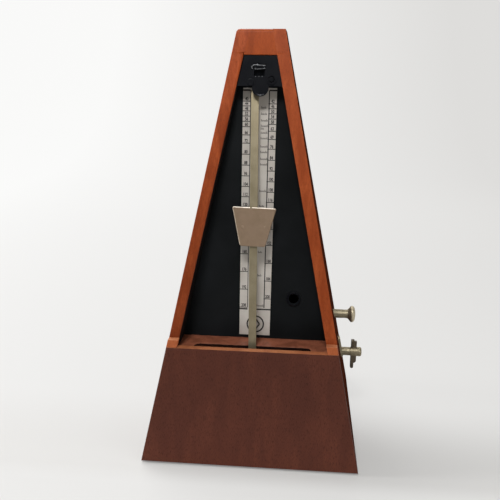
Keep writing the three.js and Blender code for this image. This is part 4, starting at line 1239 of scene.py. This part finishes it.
@dataclass
class Scale:
    """The tempo scale: its plate, and the rules, numbers and marks printed on it.

    A balanced pendulum with its weight at a given place has one rate, and that law sets each mark's height.
    The columns' widths are given at the plate's foot and at its head.
    """

    gravity: float = 9.81
    balance_length: float = 158.5 * MM
    inertia_ratio: float = 9027 * MM * MM
    fastest: int = 208
    stretches: tuple[tuple[int, int, int], ...] = (
        (40, 60, 2),
        (60, 72, 3),
        (72, 120, 4),
        (120, 144, 6),
        (144, 209, 8),
    )
    plate_edge: float = 0.12 * MM
    left_column: tuple[float, float] = (4.35 * MM, 4.05 * MM)
    right_column: tuple[float, float] = (3.45 * MM, 3.95 * MM)
    line: float = 0.4 * MM
    heavy_line: float = 0.56 * MM
    ink: float = 0.03 * MM
    digit: float = 2.4 * MM
    digit_rise: float = 0.45 * MM
    digit_weight: float = 0.09 * MM
    condensed: float = 0.7
    top_rule: float = 1.3 * MM
    foot_rule_drop: float = 0.9 * MM
    tick_overlap: float = 0.4 * MM
    mark_start: float = 0.9 * MM
    stroke: float = 0.26 * MM
    stroke_height: float = 1.25 * MM
    stroke_step: float = 0.46 * MM
    low_stroke: float = 0.65
    ornament: tuple[float, float] = (0.35 * MM, 6.2 * MM)
    ornament_size: tuple[float, float] = (2.3 * MM, 3.1 * MM)
    ornament_ring: float = 4.45 * MM
    ornament_line: float = 0.8 * MM

    def build(self) -> None:
        """Builds the plate and everything printed on it."""
        self.measure_plate()
        show_eased("scale_plate", "silvered_scale_plate", self.plate_edge, SILVERING, "case", "silver_scale")
        self.rules()
        self.numbers()
        self.marks()
        self.lozenge()

    def measure_plate(self) -> None:
        """Finds the plate's front face: its lower corners, its height and the way that it leans."""
        corners = [vertex.co for vertex in frame["nodes"]["scale_plate"].data.vertices]
        low_z, high_z = min(c.z for c in corners), max(c.z for c in corners)
        bottom = [c for c in corners if c.z < low_z + LEVEL]
        top = [c for c in corners if c.z > high_z - LEVEL]
        front_low, front_high = min(c.y for c in bottom), min(c.y for c in top)
        self.left_low, self.right_low = min(c.x for c in bottom), max(c.x for c in bottom)
        self.left_high, self.right_high = min(c.x for c in top), max(c.x for c in top)
        up = Vector((0, front_high - front_low, high_z - low_z))
        self.length = up.length
        up.normalize()
        across = Vector((1, 0, 0))
        turn = Matrix((across, up, across.cross(up))).transposed().to_4x4()
        self.place = Matrix.Translation((0, front_low, low_z)) @ turn
        self.pivot_drop = low_z - joint_place("pendulum_swing").z
        self.middle = (self.left_low + self.right_low) / 2

    def columns_at(self, height: float) -> tuple[tuple[float, float], tuple[float, float]]:
        """Finds the two columns at a height.

        Args:
            height: The height along the plate from its lower edge.

        Returns:
            The outer and inner edge of the left column, and the inner and outer edge of the right one.
        """
        share = height / self.length
        left = self.left_low + share * (self.left_high - self.left_low)
        right = self.right_low + share * (self.right_high - self.right_low)
        (left_foot, left_head), (right_foot, right_head) = self.left_column, self.right_column
        left_inner = left + left_foot + share * (left_head - left_foot)
        right_inner = right - (right_foot + share * (right_head - right_foot))
        return (left, left_inner), (right_inner, right)

    def height_of(self, tempo: float) -> float:
        """Gives the height of a tempo's mark.

        Args:
            tempo: Beats per minute.

        Returns:
            The height along the plate from its lower edge, in metres.
        """
        rate = (math.pi * tempo / 60) ** 2
        reach = self.gravity * self.balance_length - rate * self.inertia_ratio
        root = math.sqrt(self.gravity**2 + 4 * rate * reach)
        return (root - self.gravity) / (2 * rate) - self.pivot_drop

    def tempos(self) -> list[int]:
        """Returns the tempos of a standard scale, from slow to fast."""
        return [tempo for low, high, step in self.stretches for tempo in range(low, high, step)]

    def bar(self, left: float, right: float, low: float, high: float) -> bpy.types.Object:
        """Prints one rule as a film of ink.

        Args:
            left: Its left end along the plate's width.
            right: Its right end.
            low: Its lower edge along the plate's height.
            high: Its upper edge.

        Returns:
            The rule, drawn flat at the origin.
        """
        piece = primitive(
            bpy.ops.mesh.primitive_plane_add,
            "rule",
            (right - left, high - low, 1),
            size=1,
            location=((left + right) / 2, (low + high) / 2, 0),
        )
        with editing(piece):
            bpy.ops.mesh.select_all(action="SELECT")
            bpy.ops.mesh.extrude_region_move(TRANSFORM_OT_translate={"value": (0, 0, self.ink)})
            bpy.ops.mesh.select_all(action="SELECT")
            bpy.ops.mesh.normals_make_consistent(inside=False)
        return piece

    def level_line(self, ends: tuple[float, float], height: float, width: float) -> bpy.types.Object:
        """Prints a line across the plate.

        Args:
            ends: Its left and right end.
            height: Its middle's height.
            width: The line's width.

        Returns:
            The line, drawn flat at the origin.
        """
        return self.bar(*ends, height - width / 2, height + width / 2)

    def leaning_line(self, low: Vector, high: Vector, width: float) -> bpy.types.Object:
        """Prints a line between two points of the plate.

        Args:
            low: Its lower end, along the plate's width and height.
            high: Its upper end.
            width: The line's width.

        Returns:
            The line, drawn flat at the origin.
        """
        length = (high - low).length
        piece = self.bar(-width / 2, width / 2, -length / 2, length / 2)
        middle = (low + high) / 2
        turn = -math.atan2(high.x - low.x, high.y - low.y)
        piece.data.transform(Matrix.Translation((middle.x, middle.y, 0)) @ Matrix.Rotation(turn, 4, "Z"))
        return piece

    def loop(self, points: Sequence[Vector]) -> list[bpy.types.Object]:
        """Prints a closed line through the points, as its separate strokes."""
        following = [*points[1:], points[0]]
        return [self.leaning_line(*ends, self.ornament_line) for ends in zip(points, following)]

    def together(self, pieces: Sequence[bpy.types.Object], name: str, finish: Finish) -> None:
        """Joins printed pieces into one and lays it on the plate.

        Args:
            pieces: The flat pieces.
            name: The whole print's name.
            finish: Its ink.
        """
        choose_only(pieces[0])
        for piece in pieces[1:]:
            piece.select_set(True)
        bpy.ops.object.join()
        whole = bpy.context.object
        whole.name = whole.data.name = name
        whole.data.transform(self.place)
        paint(whole, finish)
        hand_over(whole, "case", "silver_scale")

    def rules(self) -> None:
        """Prints the columns' lines and a tick for each tempo."""
        foot, head = self.height_of(self.fastest), self.length - self.top_rule
        foot_left, foot_right = self.columns_at(foot)
        head_left, head_right = self.columns_at(head)
        pieces = [
            self.leaning_line(Vector((foot_left[1], foot)), Vector((head_left[1], head)), self.line),
            self.leaning_line(Vector((foot_right[0], foot)), Vector((head_right[0], head)), self.heavy_line),
        ]
        for number, tempo in enumerate(self.tempos()):
            height = self.height_of(tempo)
            left, (inner, outer) = self.columns_at(height)
            ends = left if number % 2 == 0 else (inner - self.tick_overlap, outer)
            pieces.append(self.level_line(ends, height, self.line))
        for height, start in ((foot - self.foot_rule_drop, self.middle), (head, head_right[0])):
            left, right = self.columns_at(height)
            for ends in (left, (start, right[1])):
                pieces.append(self.level_line(ends, height, 2 * self.line))
        self.together(pieces, "scale_rules", INK)

    def number(self, tempo: int, x: float, height: float) -> bpy.types.Object:
        """Prints one tempo's number.

        Args:
            tempo: Beats per minute.
            x: The number's middle along the plate's width.
            height: Its foot along the plate's height.

        Returns:
            The number, drawn flat at the origin.
        """
        bpy.ops.object.select_all(action="DESELECT")
        bpy.ops.object.text_add(location=(x, height, 0))
        text = bpy.context.object.data
        text.body = str(tempo)
        text.size = self.digit
        text.align_x = "CENTER"
        text.extrude = self.ink / 2
        text.offset = self.digit_weight
        text.resolution_u = 3
        bpy.ops.object.convert(target="MESH")
        piece = bpy.context.object
        piece.scale = (self.condensed, 1, 1)
        settle(piece)
        return piece

    def numbers(self) -> None:
        """Prints each tempo's number over its tick."""
        pieces = []
        for number, tempo in enumerate(self.tempos()):
            height = self.height_of(tempo)
            column = self.columns_at(height)[number % 2]
            pieces.append(self.number(tempo, sum(column) / 2, height + self.digit_rise))
        self.together(pieces, "scale_numbers", INK)

    def marks(self) -> None:
        """Prints rows of small strokes right of the rod, where such a scale describes its tempos."""
        strokes = {
            46: 6, 51: 7, 56: 8, 60: 9, 62: 4, 65: 8, 69: 9, 75: 9,
            79: 8, 84: 9, 88: 9, 108: 8, 120: 6, 159: 5, 180: 5, 207: 9,
        }
        pieces = []
        for tempo, count in strokes.items():
            foot = self.height_of(tempo)
            for number in range(count):
                left = self.middle + self.mark_start + number * self.stroke_step
                rise = self.stroke_height * (1.0 if number in (0, count - 2) else self.low_stroke)
                pieces.append(self.bar(left, left + self.stroke, foot, foot + rise))
        self.together(pieces, "scale_strokes", PALE_INK)

    def lozenge(self) -> None:
        """Prints a plain ring with a lozenge in it at the foot of the scale."""
        middle = Vector((self.middle + self.ornament[0], self.ornament[1]))
        wide, tall = self.ornament_size
        corners = [middle + Vector(corner) for corner in ((wide, 0), (0, tall), (-wide, 0), (0, -tall))]
        steps = 40
        turns = (2 * math.pi * step / steps for step in range(steps))
        rim = [middle + self.ornament_ring * Vector((math.cos(turn), math.sin(turn))) for turn in turns]
        self.together(self.loop(corners) + self.loop(rim), "scale_lozenge", INK)


@dataclass
class Pendulum:
    """The rod and its sliding weight.

    A face counts as turned to the front, up or left where its normal passes the given share.
    """

    rod_edge: float = 0.15 * MM
    weight_edge: float = 0.5 * MM
    front_share: float = 0.1
    edge_share: float = 0.3
    rivet_radius: float = 0.9 * MM
    rivet_root: float = -0.2 * MM
    rivet_wall: float = 0.01 * MM
    rivet_rise: float = 0.12 * MM
    rivet_reach: float = 5.8 * MM
    notch_radius: float = 0.55 * MM
    notch_drop: float = 0.7 * MM
    notch_length: float = 20 * MM
    rod_half_width: float = 1.85 * MM
    corner_depth: float = 1.5 * MM

    def build(self) -> None:
        """Builds the flat drawn rod and the weight."""
        show_eased("pendulum_rod", "flat_pendulum_rod", self.rod_edge, DRAWN_NICKEL, "pendulum", "nickel")
        self.weight()
        self.rivet_marks()

    def weight(self) -> None:
        """Builds the lacquered weight, its upper and left edges painted pale as painted highlights."""
        piece = carried_over("sliding_weight", "trapezium_weight")
        # The upper and left edges are painted pale: painted highlights.
        paint(piece, TAUPE, {Side.TOP: TOP_EDGE_HIGHLIGHT, Side.LEFT: LEFT_EDGE_HIGHLIGHT})
        rim = [(Side.FRONT, side) for side in Side if side is not Side.FRONT]
        round_between(piece, rim, self.weight_edge, 2, slot=0)
        # Faces turned up or left at the front take the painted highlights.
        for face in piece.data.polygons:
            if face.normal.y < -self.front_share and face.normal.z > self.edge_share:
                face.material_index = 1
            elif face.normal.y < -self.front_share and face.normal.x < -self.edge_share:
                face.material_index = 2
        self.notch(piece)
        smooth(piece, 40)
        hand_over(piece, "weight", "taupe_paint", "sliding_weight")

    def notch(self, piece: bpy.types.Object) -> None:
        """Files the small sighting notch into the weight's upper edge, over the rod's middle."""
        low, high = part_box("sliding_weight")
        rod_low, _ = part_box("pendulum_rod")
        file = primitive(
            bpy.ops.mesh.primitive_cylinder_add,
            "sighting_notch",
            vertices=24,
            radius=self.notch_radius,
            depth=self.notch_length,
            location=(rod_low.x + self.rod_half_width, low.y, high.z - self.notch_drop),
            rotation=(math.pi / 2, 0, 0),
        )
        cut_away(piece, file)

    def face_of_weight(self, height: float) -> float:
        """Returns the y of the weight's front face at a height."""
        low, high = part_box("sliding_weight")
        corners = [vertex.co for vertex in frame["nodes"]["sliding_weight"].data.vertices]
        foot = min(co.y for co in corners if co.z < low.z + self.corner_depth)
        head = min(co.y for co in corners if co.z > high.z - self.corner_depth)
        return foot + (height - low.z) / (high.z - low.z) * (head - foot)

    def rivet_marks(self) -> None:
        """Raises the two faint marks that the clip's rivets leave on the weight's face."""
        low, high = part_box("sliding_weight")
        x, _, z = (low + high) / 2
        radius, rise = self.rivet_radius, self.rivet_rise
        profile = [
            (radius, self.rivet_root),
            (radius, self.rivet_wall),
            (radius * 0.6, rise * 0.8),
            (radius * 0.25, rise),
        ]
        for name, offset in (("left", -self.rivet_reach), ("right", self.rivet_reach)):
            place = Vector((x + offset, self.face_of_weight(z), z))
            piece = button(f"rivet_mark_{name}", profile, place, 24)
            paint(piece, TAUPE)
            smooth(piece, 60)
            hand_over(piece, "weight", "taupe_paint")


@dataclass
class SideHardware:
    """The bell pull and the winding key with its shaft and escutcheon."""

    knob_edge: float = 0.35 * MM
    head_length: float = 4.5 * MM
    shaft_edge: float = 0.2 * MM
    sleeve_end: float = 0.8 * MM
    wing_edge: float = 0.4 * MM
    plate_edge: float = 0.3 * MM

    def build(self) -> None:
        """Builds the hardware on the case's right side."""
        self.pull()
        self.shaft()
        self.sleeve()
        # The wing is painted dark: painted shade.
        show_eased("key_wing", "filed_key_wing", self.wing_edge, PAINTED_SHADE_NICKEL, "winding", "nickel", 3)
        show_eased("key_escutcheon", "drop_escutcheon", self.plate_edge, NICKEL, "case", "nickel", 3)

    def pull(self) -> None:
        """Turns the bell pull with its domed head, painted paler as painted light."""
        place = joint_place("hammer_swing")
        piece = turned("turned_bell_pull", profile_of("bell_pull", Axis.X, place), Axis.X, place, 56)
        ease_edges(piece, self.knob_edge, 3)
        paint(piece, NICKEL)
        # The head is painted paler: painted light.
        piece.data.materials.append(material_of(PAINTED_LIGHT_NICKEL))
        head_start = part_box("bell_pull")[1].x - self.head_length
        for face in piece.data.polygons:
            if face.center.x > head_start:
                face.material_index = 1
        hand_over(piece, "bell_pull", "nickel", "bell_pull")

    def shaft(self) -> None:
        """Turns the winding arbor."""
        place = joint_place("key_wind")
        piece = turned("turned_winding_arbor", profile_of("winding_arbor", Axis.X, place), Axis.X, place)
        ease_edges(piece, self.shaft_edge)
        paint(piece, NICKEL)
        hand_over(piece, "winding", "nickel", "winding_arbor")

    def sleeve(self) -> None:
        """Turns the key's sleeve, rounded at its end."""
        low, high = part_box("key_shaft")
        radius, end = (high.y - low.y) / 2, self.sleeve_end
        profile = [
            (radius, low.x),
            (radius, high.x - end),
            (radius - end * 0.35, high.x - end * 0.3),
            (radius - end, high.x),
        ]
        piece = turned("turned_key_sleeve", profile, Axis.X, joint_place("key_wind"))
        ease_edges(piece, self.shaft_edge, 3, 20)
        paint(piece, NICKEL)
        hand_over(piece, "winding", "nickel", "key_shaft")


class Movement:
    """Everything of the frame that is shown as it is: the movement, the bell and small hardware."""

    @staticmethod
    def build() -> None:
        """Gives each remaining CAD node the finish of its material slot."""
        slots = {part["node"]: part["material_slot"] for part in frame["record"]["subparts"]}
        for name, node in frame["nodes"].items():
            node.data.materials.clear()
            node.data.materials.append(material_of(FINISH_OF_SLOT[slots[name]]))
            log.info("%s is finished as %s", name, slots[name])


@dataclass
class Studio:
    """The floor and backdrop, the lamps and the camera.

    The paper glows to the camera by a share that changes going back, so that its tones are those of a sweep
    lit from above. Lamps are given as a name, a place, a side in metres and a power in watts.
    """

    camera_place: Vertex = (22.48 * MM, -349.42 * MM, 199.17 * MM)
    camera_yaw: float = 0.0847
    camera_pitch: float = -0.2663
    camera_roll: float = 0.0116
    lens: float = 46.1
    clip_start: float = 0.01
    floor_reach: float = 3.0
    backdrop_place: float = 1.6
    backdrop_height: float = 2.2
    cove: float = 0.7
    paper: str = "#c0bfbd"
    glow_left: str = "#fcfcfb"
    glow_right: str = "#e0dfdd"
    glow_span: tuple[float, float] = (-0.5, 0.4)
    front_glow: float = 0.6
    # Where the glow changes, from and to, and the share that it then reaches. Behind the case's front the glow
    # rises fast, washing out the shadow that the window lamp casts there: painted light.
    glow_steps: tuple[tuple[float, float, float], ...] = (
        (-75 * MM, -60 * MM, 0.25),
        (-45 * MM, 24 * MM, 0.8),
        (40 * MM, 700 * MM, 0.97),
    )
    air: str = "#f2f2f0"
    air_span: tuple[float, float] = (-0.7, 0.4)
    air_strength: tuple[float, float] = (0.12, 0.4)
    lamp_target: Vertex = (0, 0, 0.1)
    lamps: tuple[tuple[str, Vertex, float, float], ...] = (
        ("key", (-0.06, -0.5, 0.72), 0.16, 4.0),
        ("overhead", (-0.42, 0.6, 0.95), 0.8, 10.0),
        ("window", (-1.1, 0.0, 0.45), 0.3, 9.0),
        ("fill", (0.75, -0.6, 0.45), 0.8, 2.4),
    )

    def build(self) -> None:
        """Sets up the whole studio."""
        self.camera()
        floor = self.backdrop()
        floor.data.materials.append(self.glowing_paper())
        self.sky()
        for name, place, size, power in self.lamps:
            self.lamp(name, place, size, power)
        bpy.context.scene.view_settings.view_transform = "Standard"

    def camera(self) -> None:
        """Places the camera by its yaw, pitch and roll."""
        yaw, pitch, roll = self.camera_yaw, self.camera_pitch, self.camera_roll
        ahead = Vector((-math.sin(yaw) * math.cos(pitch), math.cos(yaw) * math.cos(pitch), math.sin(pitch)))
        right = Vector((math.cos(yaw), math.sin(yaw), 0))
        up = right.cross(ahead)
        rolled_right = right * math.cos(roll) + up * math.sin(roll)
        rolled_up = up * math.cos(roll) - right * math.sin(roll)
        data = bpy.data.cameras.new("camera")
        data.lens = self.lens
        data.clip_start = self.clip_start
        camera = bpy.data.objects.new("camera", data)
        turn = Matrix((rolled_right, rolled_up, -ahead)).transposed().to_4x4()
        camera.matrix_world = Matrix.Translation(self.camera_place) @ turn
        bpy.context.scene.collection.objects.link(camera)
        bpy.context.scene.camera = camera

    def backdrop(self) -> bpy.types.Object:
        """Makes the floor, which curves up into a backdrop."""
        floor = primitive(
            bpy.ops.mesh.primitive_plane_add,
            "studio_floor",
            size=2 * self.floor_reach,
            location=(0, self.backdrop_place - self.floor_reach, 0),
        )
        rise = {"value": (0, 0, self.backdrop_height)}
        self.with_back_edge(floor, lambda: bpy.ops.mesh.extrude_region_move(TRANSFORM_OT_translate=rise))
        self.with_back_edge(floor, lambda: bpy.ops.mesh.bevel(offset=self.cove, segments=16, affect="EDGES"))
        smooth(floor, 60)
        return floor

    def with_back_edge(self, floor: bpy.types.Object, change: Callable[[], object]) -> None:
        """Changes the floor's edge at its back, where the backdrop stands.

        Args:
            floor: The floor.
            change: The edit to make with that edge selected.
        """
        with editing(floor, "EDGE") as mesh:
            for edge in mesh.edges:
                if all(vert.co.y > self.backdrop_place - 0.01 and vert.co.z < 0.01 for vert in edge.verts):
                    edge.select_set(True)
            change()

    def glowing_paper(self) -> bpy.types.Material:
        """Makes the paper: lit by the lamps, with a share of its own glow for the rays that look at it."""
        material = bpy.data.materials.new("studio_paper")
        material.use_nodes = True
        tree = material.node_tree
        shader = tree.nodes["Principled BSDF"]
        shader.inputs["Base Color"].default_value = linear(self.paper)
        shader.inputs["Roughness"].default_value = 0.9
        shader.inputs["Specular IOR Level"].default_value = 0.1
        coordinates = add_node(tree, "ShaderNodeTexCoord")
        place = add_node(tree, "ShaderNodeSeparateXYZ", {"Vector": coordinates.outputs["Object"]})
        left, right = linear(self.glow_left), linear(self.glow_right)
        tone, _ = veil(tree, left, right, place.outputs["X"], self.glow_span)
        glow = add_node(tree, "ShaderNodeEmission", {"Color": tone, "Strength": 1.0})
        reached: Union[float, bpy.types.NodeSocket] = self.front_glow
        for start, end, reach in self.glow_steps:
            step = add_node(
                tree,
                "ShaderNodeMapRange",
                {
                    "Value": place.outputs["Y"],
                    "From Min": start,
                    "From Max": end,
                    "To Min": reached,
                    "To Max": reach,
                },
                interpolation_type="SMOOTHSTEP",
            )
            reached = step.outputs["Result"]
        rays = add_node(tree, "ShaderNodeLightPath")
        seen = rays.outputs["Is Camera Ray"]
        for kind in ("Is Glossy Ray", "Is Transmission Ray"):
            either = add_node(tree, "ShaderNodeMath", {0: seen, 1: rays.outputs[kind]}, operation="ADD")
            seen = either.outputs[0]
        share = add_node(tree, "ShaderNodeMath", {0: seen, 1: reached}, operation="MULTIPLY")
        mixed = add_node(
            tree,
            "ShaderNodeMixShader",
            {0: share.outputs[0], 1: shader.outputs["BSDF"], 2: glow.outputs["Emission"]},
        )
        tree.links.new(mixed.outputs["Shader"], tree.nodes["Material Output"].inputs["Surface"])
        return material

    def sky(self) -> None:
        """Fills the air with a soft light, brighter behind the object than in front of it."""
        world = bpy.data.worlds.new("studio_air")
        world.use_nodes = True
        tree = world.node_tree
        sky = tree.nodes["Background"]
        sky.inputs["Color"].default_value = linear(self.air)
        towards = add_node(tree, "ShaderNodeTexCoord")
        parts = add_node(tree, "ShaderNodeSeparateXYZ", {"Vector": towards.outputs["Generated"]})
        (start, end), (weak, strong) = self.air_span, self.air_strength
        air = add_node(
            tree,
            "ShaderNodeMapRange",
            {
                "Value": parts.outputs["Y"],
                "From Min": start,
                "From Max": end,
                "To Min": weak,
                "To Max": strong,
            },
        )
        tree.links.new(air.outputs["Result"], sky.inputs["Strength"])
        bpy.context.scene.world = world

    def lamp(self, name: str, place: Vertex, size: float, power: float) -> None:
        """Hangs one square lamp that faces the object.

        Args:
            name: The lamp's name.
            place: Where it hangs.
            size: Its side, in metres.
            power: Its power, in watts.
        """
        data = bpy.data.lights.new(name, "AREA")
        data.size = size
        data.energy = power
        lamp = bpy.data.objects.new(name, data)
        lamp.location = place
        lamp.rotation_euler = (Vector(self.lamp_target) - lamp.location).to_track_quat("-Z", "Y").to_euler()
        bpy.context.scene.collection.objects.link(lamp)


def main() -> None:
    """Builds the metronome and its studio."""
    logging.basicConfig(level=logging.INFO, format="%(name)s: %(message)s")
    Movement.build()
    for assembly in (Case(), Dial(), Scale(), Pendulum(), SideHardware(), Studio()):
        assembly.build()
        log.info("%s built", type(assembly).__name__)


if __name__ == "__main__":
    main()
